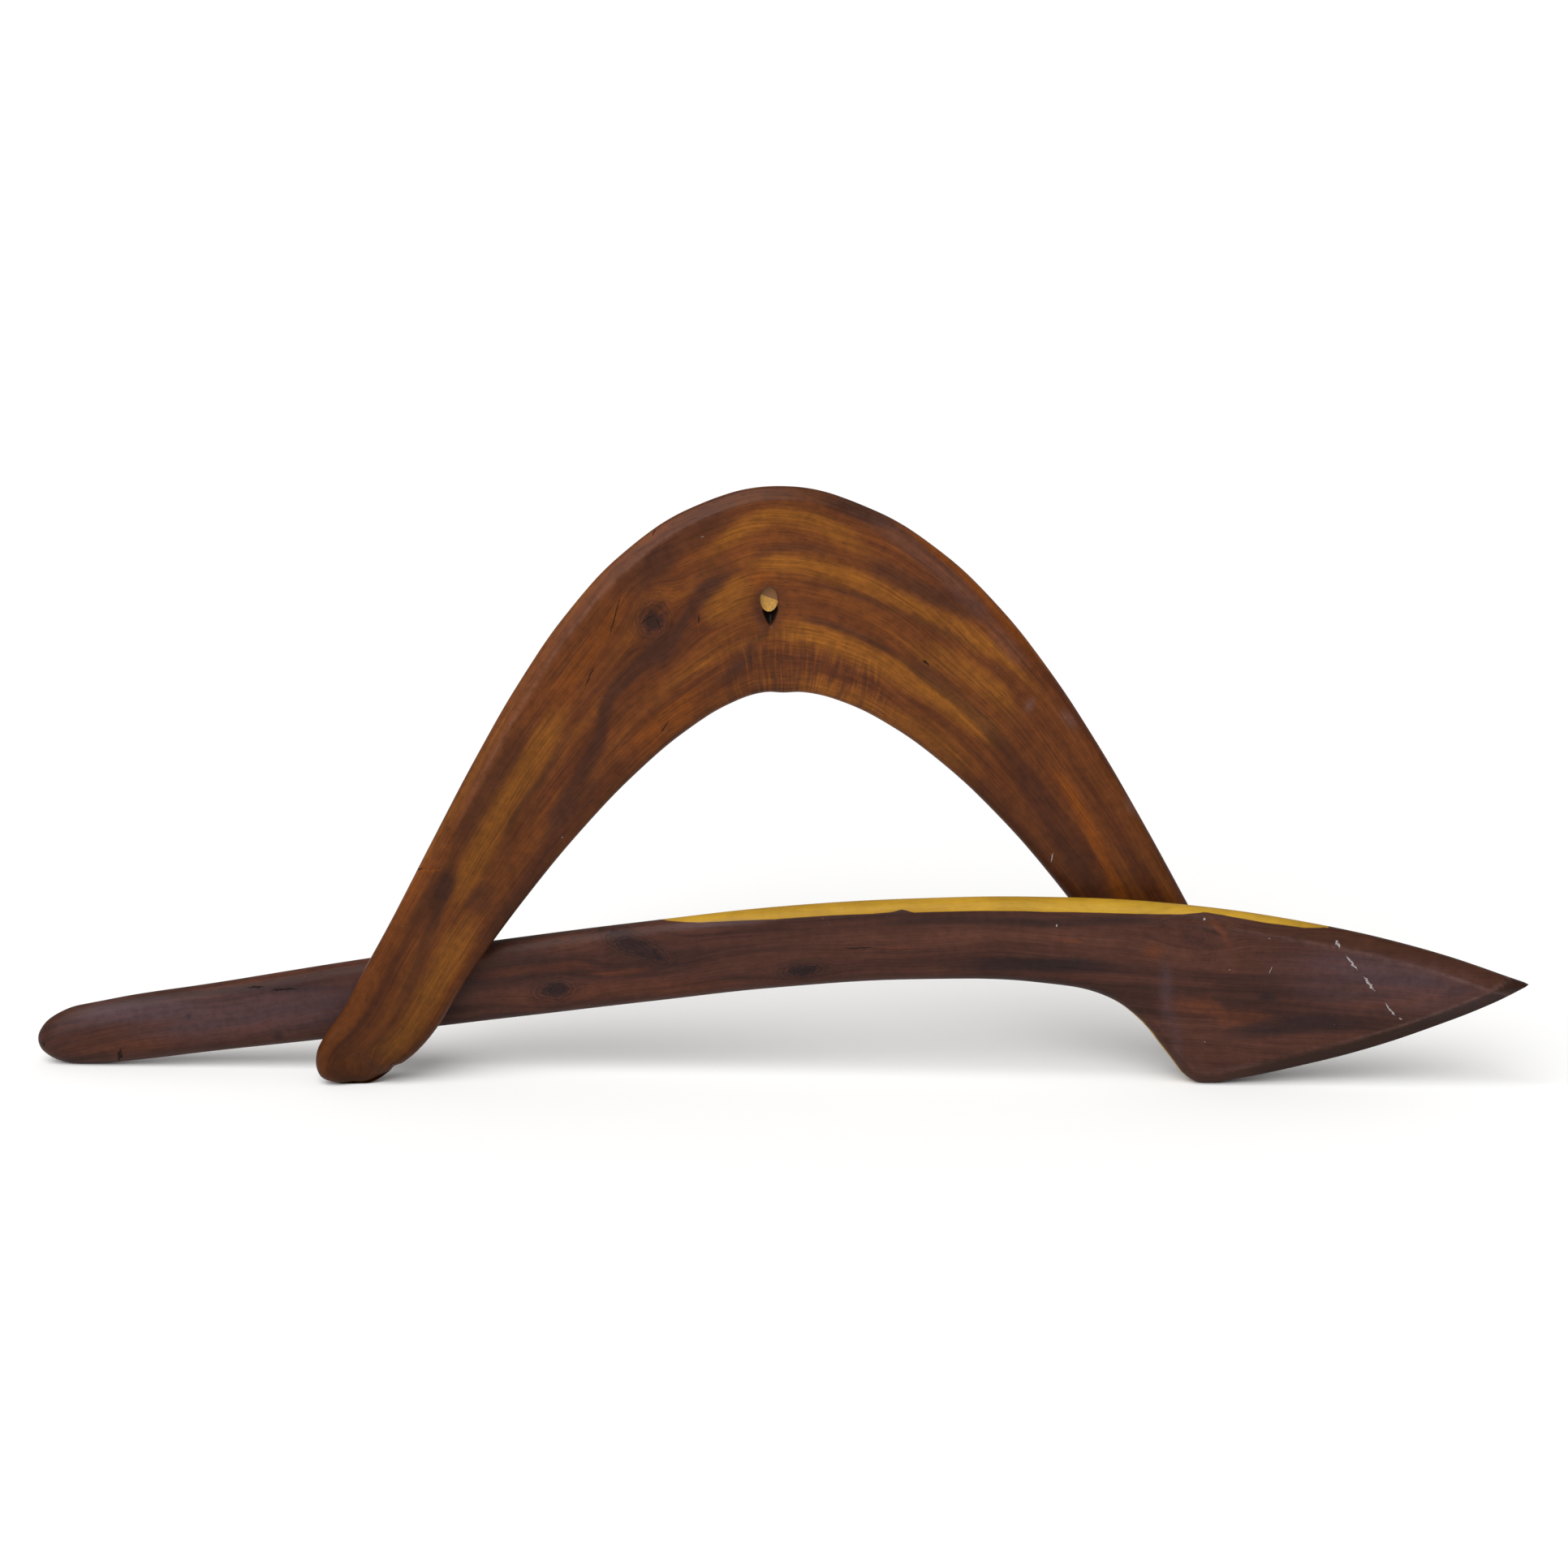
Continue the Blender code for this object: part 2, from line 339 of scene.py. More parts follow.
def tint(red: float, green: float, blue: float, gain: float = 0.78) -> tuple[float, float, float, float]:
    """A finish colour from the eight-bit values of the wood in even light.

    Args:
        red: Red, 0 to 255.
        green: Green, 0 to 255.
        blue: Blue, 0 to 255.
        gain: What the studio's light is divided out by.

    Returns:
        The linear colour, with alpha.
    """
    shares = [value / 255 for value in (red, green, blue)]
    linear = [v / 12.92 if v < 0.04045 else ((v + 0.055) / 1.055) ** 2.4 for v in shares]
    return (*(value * gain for value in linear), 1.0)


class Bench:
    """Lays shader nodes in one tree and links them, a step at a time."""

    def __init__(self, tree: bpy.types.NodeTree) -> None:
        """Starts on an existing tree."""
        self.tree = tree

    def add(self, kind: str, **settings: object) -> bpy.types.Node:
        """A new node of this kind, with these settings.

        Args:
            kind: The node's type.
            settings: Its properties, by name.

        Returns:
            The node.
        """
        node = self.tree.nodes.new(kind)
        for name, value in settings.items():
            setattr(node, name, value)
        return node

    def feed(self, socket: Socket, value: object) -> None:
        """Links a socket to an input, or sets its value.

        Args:
            socket: The input to set.
            value: A socket, a number or a colour.
        """
        if isinstance(value, bpy.types.NodeSocket):
            self.tree.links.new(value, socket)
        else:
            socket.default_value = value

    def math(self, operation: str, first: object, second: object = 0.0, clamp: bool = False) -> Socket:
        """Joins two values by an operation.

        Args:
            operation: Blender's name for the operation.
            first: A socket or a number.
            second: A socket or a number.
            clamp: Keeps the outcome from 0 to 1.

        Returns:
            The outcome's socket.
        """
        node = self.add("ShaderNodeMath", operation=operation, use_clamp=clamp)
        self.feed(node.inputs[0], first)
        self.feed(node.inputs[1], second)
        return node.outputs[0]

    def times(self, first: object, second: object) -> Socket:
        """One value times another."""
        return self.math("MULTIPLY", first, second)

    def plus(self, first: object, second: object) -> Socket:
        """One value and another."""
        return self.math("ADD", first, second)

    def minus(self, first: object, second: object) -> Socket:
        """One value less another."""
        return self.math("SUBTRACT", first, second)

    def larger(self, first: object, second: object) -> Socket:
        """The larger of two values."""
        return self.math("MAXIMUM", first, second)

    def swing(self, value: object, reach: object) -> Socket:
        """How far a noise is from its middle, times a reach."""
        return self.times(self.minus(value, 0.5), reach)

    def mix(self, factor: object, first: object, second: object, blend: str = "MIX") -> Socket:
        """Mixes two colours.

        Args:
            factor: How much of the second there is.
            first: A socket or a colour.
            second: A socket or a colour.
            blend: Blender's name for the way to mix.

        Returns:
            The mixed colour's socket.
        """
        node = self.add("ShaderNodeMix", data_type="RGBA", blend_type=blend, clamp_factor=True)
        self.feed(node.inputs[0], factor)
        self.feed(node.inputs[6], first)
        self.feed(node.inputs[7], second)
        return node.outputs[2]

    def span(self, value: object, low: object, high: object, bottom: float = 0.0, top: float = 1.0) -> Socket:
        """A smooth step of a value.

        Args:
            value: The socket to read.
            low: Where the step starts.
            high: Where it ends.
            bottom: What it gives at the start.
            top: What it gives at the end.

        Returns:
            The step's socket.
        """
        node = self.add("ShaderNodeMapRange", interpolation_type="SMOOTHSTEP")
        for index, item in enumerate((value, low, high, bottom, top)):
            self.feed(node.inputs[index], item)
        return node.outputs[0]

    def noise(
        self, vector: object, scale: Colour, detail: float = 2.0, rough: float = 0.5, seed: float = 0.0
    ) -> Socket:
        """Noise on a stretched vector.

        Args:
            vector: The place to read it at.
            scale: The stretch along each axis, as lumps for each metre.
            detail: How many finer layers it has.
            rough: How strong the finer layers are.
            seed: Which stretch of noise it is.

        Returns:
            The noise's socket.
        """
        stretch = self.add("ShaderNodeMapping")
        self.feed(stretch.inputs["Vector"], vector)
        stretch.inputs["Location"].default_value = (seed, seed * 1.7, seed * 0.6)
        stretch.inputs["Scale"].default_value = scale
        node = self.add("ShaderNodeTexNoise")
        self.feed(node.inputs["Vector"], stretch.outputs[0])
        node.inputs["Scale"].default_value = 1.0
        node.inputs["Detail"].default_value = detail
        node.inputs["Roughness"].default_value = rough
        return node.outputs[0]

    def stray(self, vector: Socket, drift: Socket, reach: Colour) -> Socket:
        """A vector, pushed aside by a drifting one.

        Args:
            vector: The vector to push.
            drift: The vector that pushes it.
            reach: How far it pushes along each axis, in metres.

        Returns:
            The pushed vector's socket.
        """
        shift = self.add("ShaderNodeVectorMath", operation="MULTIPLY_ADD")
        self.feed(shift.inputs[0], drift)
        shift.inputs[1].default_value = reach
        self.feed(shift.inputs[2], vector)
        return shift.outputs[0]

    def parts(self, vector: object) -> list[Socket]:
        """The three values of a vector."""
        node = self.add("ShaderNodeSeparateXYZ")
        self.feed(node.inputs[0], vector)
        return list(node.outputs)

    def around(self, source: bpy.types.Node) -> tuple[Socket, Socket]:
        """How far a place is from a figure's middle, along the figure and across it.

        Args:
            source: The effect's input node.

        Returns:
            Both distances, in metres.
        """
        offset = self.add("ShaderNodeVectorMath", operation="SUBTRACT")
        self.feed(offset.inputs[0], source.outputs["Blade"])
        self.feed(offset.inputs[1], source.outputs["Middle"])
        turn = self.add("ShaderNodeVectorRotate", rotation_type="Y_AXIS")
        self.feed(turn.inputs["Vector"], offset.outputs[0])
        self.feed(turn.inputs["Angle"], source.outputs["Turn"])
        along, _, across = self.parts(turn.outputs[0])
        return along, across

    def layer(self, name: str) -> bpy.types.Node:
        """One of the piece's own attributes."""
        return self.add("ShaderNodeAttribute", attribute_name=name)

    def use(self, group: bpy.types.NodeTree, **inputs: object) -> bpy.types.Node:
        """A shared effect with its inputs set.

        Args:
            group: The shared effect.
            inputs: Its inputs, by name.

        Returns:
            The effect's node.
        """
        node = self.add("ShaderNodeGroup", node_tree=group)
        for name, value in inputs.items():
            self.feed(node.inputs[name], value)
        return node

    def bump(self, shader: bpy.types.Node, height: Socket, strength: float, distance: float) -> None:
        """Raises a shader's surface by a height.

        Args:
            shader: The shader.
            height: The height's socket.
            strength: How much of the height counts.
            distance: The height of a full step, in metres.
        """
        node = self.add("ShaderNodeBump")
        node.inputs["Strength"].default_value = strength
        node.inputs["Distance"].default_value = distance
        self.feed(node.inputs["Height"], height)
        self.feed(shader.inputs["Normal"], node.outputs["Normal"])


def effect(
    name: str, inputs: dict[str, str], outputs: tuple[str, ...]
) -> tuple[Bench, bpy.types.Node, bpy.types.Node]:
    """Starts a shared effect.

    Args:
        name: The effect's name.
        inputs: Its inputs' names and kinds.
        outputs: The names of the values that it gives.

    Returns:
        The bench to build on, its input node and its output node.
    """
    tree = bpy.data.node_groups.new(name, "ShaderNodeTree")
    for way, sockets in (("INPUT", inputs), ("OUTPUT", dict.fromkeys(outputs, "Float"))):
        for label, kind in sockets.items():
            tree.interface.new_socket(name=label, in_out=way, socket_type="NodeSocket" + kind)
    bench = Bench(tree)
    return bench, bench.add("NodeGroupInput"), bench.add("NodeGroupOutput")


class WoodEffects:
    """The effects that every finish shares."""

    def __init__(self) -> None:
        """Makes the node groups."""
        self.fibre = self.make_fibre()
        self.trace = self.make_trace()
        self.knot = self.make_knot()
        self.wear = self.make_wear()

    def make_fibre(self) -> bpy.types.NodeTree:
        """Bands, fine lines, pores and cross ripple along the grain.

        Returns:
            The node group.
        """
        outputs = ("Bands", "Streaks", "Lines", "Pores", "Ripple")
        bench, source, result = effect("wood_fibre", {"Grain": "Vector"}, outputs)
        grain = source.outputs["Grain"]
        drift = bench.add("ShaderNodeTexNoise")
        bench.feed(drift.inputs["Vector"], grain)
        drift.inputs["Scale"].default_value = 16.0
        drift.inputs["Detail"].default_value = 2.0
        bent = bench.stray(grain, drift.outputs["Color"], (0.0, 0.006, 0.0))
        bench.feed(result.inputs["Bands"], bench.noise(bent, (4.0, 70.0, 14.0), 4.0, 0.55))
        bench.feed(result.inputs["Streaks"], bench.noise(bent, (9.0, 260.0, 40.0), 4.0, 0.6, 3.0))
        bench.feed(result.inputs["Lines"], bench.noise(bent, (34.0, 1400.0, 240.0), 4.0, 0.68, 7.0))
        pores = bench.noise(bent, (150.0, 2300.0, 500.0), 1.0, 0.5, 11.0)
        bench.feed(result.inputs["Pores"], bench.span(pores, 0.64, 0.74))
        sway = bench.stray(grain, drift.outputs["Color"], (0.030, 0.0, 0.0))
        bench.feed(result.inputs["Ripple"], bench.noise(sway, (330.0, 60.0, 20.0), 4.0, 0.62, 5.0))
        return bench.tree

    def make_trace(self) -> bpy.types.NodeTree:
        """The mask of one small mark on the front.

        Returns:
            The node group.
        """
        inputs = {"Blade": "Vector", "Middle": "Vector", "Turn": "Float", "Length": "Float", "Width": "Float"}
        bench, source, result = effect("small_trace", inputs, ("Mask",))
        along, across = bench.around(source)
        blade, width = source.outputs["Blade"], source.outputs["Width"]
        wander = bench.swing(bench.noise(blade, (420.0, 420.0, 420.0), 3.0, 0.6), bench.times(width, 2.6))
        side = bench.math("ABSOLUTE", bench.plus(across, wander))
        half = bench.times(source.outputs["Length"], 0.5)
        taper = bench.span(bench.math("DIVIDE", bench.math("ABSOLUTE", along), half), 0.35, 1.0, 1.0, 0.0)
        reach = bench.times(bench.times(width, 0.5), taper)
        inside = bench.span(side, reach, bench.times(reach, 0.35))
        front = bench.math("LESS_THAN", bench.parts(blade)[1], 0.0)
        solid = bench.times(inside, bench.times(front, bench.math("GREATER_THAN", taper, 0.02)))
        bench.feed(result.inputs["Mask"], solid)
        return bench.tree

    def make_knot(self) -> bpy.types.NodeTree:
        """One knot's dark core, its rings, and the shade around it.

        Returns:
            The node group.
        """
        inputs = {"Blade": "Vector", "Middle": "Vector", "Turn": "Float", "Long": "Float", "Wide": "Float"}
        bench, source, result = effect("knot_figure", inputs, ("Core", "Rings", "Shade"))
        along, across = bench.around(source)
        blade = source.outputs["Blade"]
        first = bench.math("DIVIDE", along, source.outputs["Long"])
        second = bench.math("DIVIDE", across, source.outputs["Wide"])
        round_ = bench.math("SQRT", bench.plus(bench.times(first, first), bench.times(second, second)))
        wobble = bench.noise(blade, (160.0, 60.0, 160.0), 3.0, 0.6)
        reach = bench.plus(round_, bench.swing(wobble, 0.95))
        fine = bench.noise(blade, (900.0, 300.0, 900.0), 3.0, 0.65, 2.0)
        core = bench.span(bench.plus(reach, bench.swing(fine, 1.5)), 1.05, 0.45)
        wave = bench.math("SINE", bench.times(reach, 19.0))
        ring = bench.times(bench.span(wave, -0.1, 0.95), bench.span(reach, 2.1, 0.75))
        bench.feed(result.inputs["Core"], core)
        bench.feed(result.inputs["Rings"], ring)
        bench.feed(result.inputs["Shade"], bench.span(reach, 2.1, 0.8))
        return bench.tree

    def make_wear(self) -> bpy.types.NodeTree:
        """Hairline scuffs, dust specks, and the unevenness that hand work leaves.

        Returns:
            The node group.
        """
        bench, source, result = effect("hand_wear", {"Blade": "Vector"}, ("Scuffs", "Dust", "Cloud", "Grime"))
        blade = source.outputs["Blade"]
        rise = bench.noise(blade, (900.0, 200.0, 55.0), 2.0, 0.5, 4.0)
        lie = bench.noise(blade, (70.0, 200.0, 1300.0), 2.0, 0.5, 9.0)
        scuffs = bench.larger(bench.span(rise, 0.70, 0.78), bench.span(lie, 0.71, 0.79))
        bench.feed(result.inputs["Scuffs"], scuffs)
        specks = bench.add("ShaderNodeTexVoronoi")
        bench.feed(specks.inputs["Vector"], blade)
        specks.inputs["Scale"].default_value = 130.0
        patchy = bench.noise(blade, (30.0, 30.0, 30.0), 2.0, 0.5, 6.0)
        dots = bench.span(specks.outputs["Distance"], 0.055, 0.02)
        bench.feed(result.inputs["Dust"], bench.times(dots, bench.span(patchy, 0.55, 0.66)))
        bench.feed(result.inputs["Cloud"], bench.noise(blade, (28.0, 28.0, 28.0), 3.0, 0.5, 1.0))
        bench.feed(result.inputs["Grime"], bench.noise(blade, (210.0, 210.0, 210.0), 4.0, 0.65, 8.0))
        return bench.tree


class Wood:
    """What a blade's finish reads at each place: the piece's own layers and the shared effects."""

    def __init__(self, bench: Bench, effects: WoodEffects) -> None:
        """Lays the nodes that everything else in the finish reads."""
        self.bench = bench
        self.effects = effects
        self.blade = bench.layer("blade").outputs["Vector"]
        tones = bench.layer("tones")
        self.light, self.dark, self.warm = bench.parts(tones.outputs["Color"])
        # The tones' alpha is the painted sheen, a pale reflection painted into the colour.
        self.painted_sheen = tones.outputs["Alpha"]
        # The rim layer's second value is a painted highlight on the ridges.
        self.sap, self.ridge_highlight, self.wrinkle = bench.parts(bench.layer("rim").outputs["Vector"])
        # The faces layer holds the cut faces, a painted shade factor that darkens the colour, and the painted
        # shade in the hollows.
        self.cut, self.handled, self.hollow_shade = bench.parts(bench.layer("faces").outputs["Vector"])
        fibre = bench.use(effects.fibre, Grain=bench.layer("grain").outputs["Vector"])
        outputs = [fibre.outputs[name] for name in ("Bands", "Streaks", "Lines", "Pores", "Ripple")]
        self.bands, self.streaks, self.lines, self.pores, self.ripple = outputs
        wear = bench.use(effects.wear, Blade=self.blade)
        outputs = [wear.outputs[name] for name in ("Scuffs", "Dust", "Cloud", "Grime")]
        self.scuffs, self.dust, self.cloud, self.grime = outputs

    def strongest(self, values: list[Socket]) -> object:
        """The largest of several masks, or nothing.

        Args:
            values: The masks.

        Returns:
            The largest mask's socket, or 0.
        """
        total: object = 0.0
        for value in values:
            total = self.bench.larger(total, value)
        return total

    def masks(self, traces: tuple[Trace, ...], kind: Mark) -> object:
        """Draws every small mark of one kind.

        Args:
            traces: All the small marks.
            kind: Which of them to draw.

        Returns:
            The mask's socket, or nothing where there is no such mark.
        """
        found = []
        for trace in traces:
            if trace.kind is kind:
                inputs = {
                    "Blade": self.blade,
                    "Middle": (trace.x, 0.0, trace.z),
                    "Turn": math.radians(trace.turn),
                    "Length": trace.length,
                    "Width": trace.width,
                }
                found.append(self.bench.use(self.effects.trace, **inputs).outputs["Mask"])
        return self.strongest(found)


@dataclass(frozen=True)
class Heartwood:
    """An oiled heartwood: its colours, gloss, knots and small marks."""

    name: str
    deep: Colour
    middle: Colour
    light: Colour
    dark: Colour
    warm: Colour
    # The colour of the painted sheen.
    painted_sheen: Colour
    # The colour of the painted highlight on the ridges.
    ridge_highlight: Colour
    cut: Colour
    sap: Colour
    sap_line: Colour
    core: Colour
    knots: tuple[Knot, ...]
    traces: tuple[Trace, ...]
    roughness: float = 0.42
    gloss: float = 0.09
    varnish: float = 0.03
    contrast: float = 1.0
    # Near-black of the cracks, and of the painted shade in the knot hole's pit and round its bore.
    crack_and_pit_shade: Colour = (24, 16, 13)
    dust: Colour = (176, 170, 172)

    def lay_figure(self, wood: Wood) -> Socket:
        """The grain's bands, the streaks of colour in it, and the wrinkles across it.

        Args:
            wood: What the finish reads.

        Returns:
            The colour's socket.
        """
        bench = wood.bench
        spread = bench.plus(wood.bands, bench.swing(wood.streaks, 0.75))
        colour = bench.mix(bench.span(spread, 0.30, 0.58), tint(*self.deep), tint(*self.middle))
        colour = bench.mix(bench.span(spread, 0.56, 0.78, 0.0, 0.5), colour, tint(*self.light))
        broken = bench.span(bench.plus(wood.streaks, bench.times(wood.lines, 0.5)), 0.45, 0.95, 0.55, 1.0)
        colour = bench.mix(bench.times(wood.warm, broken), colour, tint(*self.warm))
        colour = bench.mix(bench.times(wood.light, broken), colour, tint(*self.light))
        ragged = bench.plus(wood.dark, bench.swing(wood.streaks, 1.1))
        ragged = bench.plus(ragged, bench.swing(wood.lines, 0.35))
        ragged = bench.times(bench.span(ragged, 0.05, 1.05), bench.span(wood.dark, 0.0, 0.3))
        colour = bench.mix(bench.times(ragged, 0.92), colour, tint(*self.dark))
        shiver = bench.span(bench.plus(wood.ripple, bench.times(wood.streaks, 0.35)), 0.58, 0.84)
        colour = bench.mix(bench.times(wood.wrinkle, bench.times(shiver, 0.6)), colour, tint(*self.dark))
        # The glint is a painted highlight along the wrinkles.
        glint = bench.span(wood.ripple, 0.48, 0.30)
        return bench.mix(bench.times(wood.wrinkle, bench.times(glint, 0.4)), colour, tint(*self.light))

    def lay_knots(self, wood: Wood, colour: Socket) -> tuple[Socket, Socket]:
        """Lays the knots.

        Args:
            wood: What the finish reads.
            colour: The colour so far.

        Returns:
            The colour with the knots in it, and the mask of their cores.
        """
        bench = wood.bench
        cores, rings, shades = [], [], []
        for knot in self.knots:
            inputs = {
                "Blade": wood.blade,
                "Middle": (knot.x, 0.0, knot.z),
                "Turn": math.radians(knot.turn),
                "Long": knot.half_long,
                "Wide": knot.half_wide,
            }
            figure = bench.use(wood.effects.knot, **inputs)
            cores.append(bench.times(figure.outputs["Core"], knot.core))
            rings.append(bench.times(figure.outputs["Rings"], knot.rings * 0.75))
            shades.append(bench.times(figure.outputs["Shade"], 0.4))
        core = bench.times(wood.strongest(cores), bench.span(wood.streaks, 0.35, 0.6, 1.0, 0.78))
        colour = bench.mix(wood.strongest(shades), colour, tint(*self.deep))
        colour = bench.mix(wood.strongest(rings), colour, tint(*self.dark))
        return bench.mix(core, colour, tint(*self.core)), core

    def lay_faces(self, wood: Wood, colour: Socket) -> tuple[Socket, Socket]:
        """Lays the sapwood along the rim, and the cut faces.

        Args:
            wood: What the finish reads.
            colour: The colour so far.

        Returns:
            The colour with both in it, and the mask of the sapwood.
        """
        bench = wood.bench
        sapwood = bench.span(bench.plus(wood.sap, bench.swing(wood.streaks, 0.10)), -0.015, 0.02)
        pale = bench.mix(bench.span(wood.streaks, 0.3, 0.75), tint(*self.sap_line), tint(*self.sap))
        colour = bench.mix(sapwood, colour, pale)
        striped = bench.times(wood.cut, bench.span(wood.streaks, 0.30, 0.62, 0.62, 1.0))
        striped = bench.times(striped, bench.minus(1.0, sapwood))
        colour = bench.mix(striped, colour, tint(*self.cut))
        fleck = wood.masks(self.traces, Mark.FLECK)
        return bench.mix(bench.times(fleck, 0.75), colour, tint(*self.warm)), sapwood

    def lay_shade(self, wood: Wood, colour: Socket, sapwood: Socket) -> Socket:
        """Lays the fine light and dark of the grain, the painted shade that darkens the wood towards the feet
        and along the belly, and the pores.

        Args:
            wood: What the finish reads.
            colour: The colour so far.
            sapwood: The mask of the sapwood, which is smoother.

        Returns:
            The shaded colour.
        """
        bench = wood.bench
        calm = bench.minus(1.0, bench.times(sapwood, 0.65))
        fine = bench.plus(bench.times(wood.lines, 0.6), bench.times(wood.grime, 0.4))
        fine = bench.plus(0.5, bench.swing(fine, calm))
        lines = bench.span(fine, 0.32, 0.68, 1.0 - 0.34 * self.contrast, 1.0 + 0.28 * self.contrast)
        clouds = bench.span(wood.cloud, 0.25, 0.75, 0.86, 1.12)
        grey = bench.add("ShaderNodeCombineColor")
        # Painted shade: the colour is multiplied by the shade factor, darker towards the bent blade's feet
        # and along the hooked blade's belly.
        shade = bench.times(bench.times(lines, clouds), wood.handled)
        for socket in grey.inputs:
            bench.feed(socket, shade)
        colour = bench.mix(1.0, colour, grey.outputs[0], "MULTIPLY")
        heart = bench.minus(1.0, bench.times(sapwood, 0.85))
        return bench.mix(bench.times(bench.times(wood.pores, 0.45), heart), colour, tint(*self.core))

    def lay_painted_light_and_wear(self, wood: Wood, colour: Socket) -> tuple[Socket, Socket, Socket]:
        """Lays the painted sheen, the painted highlight on the ridge, the cracks with the painted shade of
        the knot hole's pit, and the scratches.

        Args:
            wood: What the finish reads.
            colour: The colour so far.

        Returns:
            The colour with these laid on, the mask of the cracks, and that of the dust and scratches.
        """
        bench = wood.bench
        # Painted sheen: pale reflections laid into the colour.
        sheen_mask = bench.times(wood.painted_sheen, bench.span(wood.grime, 0.3, 0.7, 0.6, 1.0))
        colour = bench.mix(sheen_mask, colour, tint(*self.painted_sheen))
        # Painted highlight: a pale line laid along the chamfers' ridges.
        lit_ridge = bench.times(wood.ridge_highlight, bench.span(wood.grime, 0.30, 0.62, 0.35, 1.0))
        colour = bench.mix(lit_ridge, colour, tint(*self.ridge_highlight))
        crack = wood.masks(self.traces, Mark.CRACK)
        # Painted shade in the knot hole's pit and round the lower rim of its bore, joined with the real
        # cracks.
        crack_and_pit_shade = bench.times(wood.hollow_shade, bench.span(wood.grime, 0.25, 0.6, 0.72, 1.0))
        crack_and_pit_shade = bench.larger(crack_and_pit_shade, bench.times(crack, 0.88))
        colour = bench.mix(crack_and_pit_shade, colour, tint(*self.crack_and_pit_shade))
        scratch = wood.masks(self.traces, Mark.SCRATCH)
        dusty = bench.larger(scratch, bench.times(wood.dust, 0.8))
        return bench.mix(bench.times(dusty, 0.8), colour, tint(*self.dust)), crack, dusty

    def make(self, effects: WoodEffects) -> bpy.types.Material:
        """Makes the finish.

        Args:
            effects: The shared effects.

        Returns:
            The material.
        """
        finish = bpy.data.materials.new(self.name)
        finish.use_nodes = True
        bench = Bench(finish.node_tree)
        shader = finish.node_tree.nodes["Principled BSDF"]
        wood = Wood(bench, effects)
        colour, core = self.lay_knots(wood, self.lay_figure(wood))
        colour, sapwood = self.lay_faces(wood, colour)
        colour, crack, dusty = self.lay_painted_light_and_wear(wood, self.lay_shade(wood, colour, sapwood))
        bench.feed(shader.inputs["Base Color"], colour)

        rough = bench.span(wood.grime, 0.2, 0.8, self.roughness - 0.07, self.roughness + 0.07)
        rough = bench.plus(rough, bench.times(bench.larger(crack, dusty), 0.35))
        rough = bench.math("ADD", rough, bench.times(wood.scuffs, 0.10), clamp=True)
        bench.feed(shader.inputs["Roughness"], rough)
        shader.inputs["Specular IOR Level"].default_value = self.gloss
        shader.inputs["Coat Weight"].default_value = self.varnish
        shader.inputs["Coat Roughness"].default_value = 0.22

        folds = bench.times(wood.ripple, wood.wrinkle)
        height = bench.times(wood.lines, 0.05)
        layers = (
            (wood.streaks, 0.06),
            (wood.pores, -0.10),
            (crack, -0.9),
            (wood.scuffs, -0.03),
            (folds, 0.22),
            (core, -0.25),
            (wood.grime, 0.05),
        )
        for mask, rise in layers:
            height = bench.plus(height, bench.times(mask, rise))
        bench.bump(shader, height, 0.8, 0.0006)
        return finish


@dataclass(frozen=True)
class PlugWood:
    """The pale end grain of the plug, brown where the hole shades its top."""

    name: str = "plug_end_grain"
    pale: Colour = (204, 158, 74)
    brown: Colour = (128, 84, 45)
    line: Colour = (176, 124, 56)

    def make(self, effects: WoodEffects) -> bpy.types.Material:
        """Makes the finish from the shared effects.

        Args:
            effects: The shared effects.

        Returns:
            The material.
        """
        finish = bpy.data.materials.new(self.name)
        finish.use_nodes = True
        bench = Bench(finish.node_tree)
        shader = finish.node_tree.nodes["Principled BSDF"]
        blade = bench.layer("blade").outputs["Vector"]
        wear = bench.use(effects.wear, Blade=blade)
        x, _, z = bench.parts(blade)
        fibre = bench.noise(blade, (1500.0, 160.0, 1500.0), 3.0, 0.6)
        colour = bench.mix(bench.span(fibre, 0.35, 0.65), tint(*self.line), tint(*self.pale))
        # Painted shadow: above a slanting line the plug turns brown, where the hole's rim shades it.
        edge = bench.plus(z, bench.times(x, 0.42))
        edge = bench.plus(edge, bench.swing(wear.outputs["Grime"], 0.0012))
        colour = bench.mix(bench.span(edge, 0.0004, 0.0010), colour, tint(*self.brown))
        bench.feed(shader.inputs["Base Color"], colour)
        bench.feed(shader.inputs["Roughness"], bench.span(fibre, 0.2, 0.8, 0.45, 0.65))
        shader.inputs["Specular IOR Level"].default_value = 0.3
        bench.bump(shader, fibre, 0.5, 0.0004)
        return finish


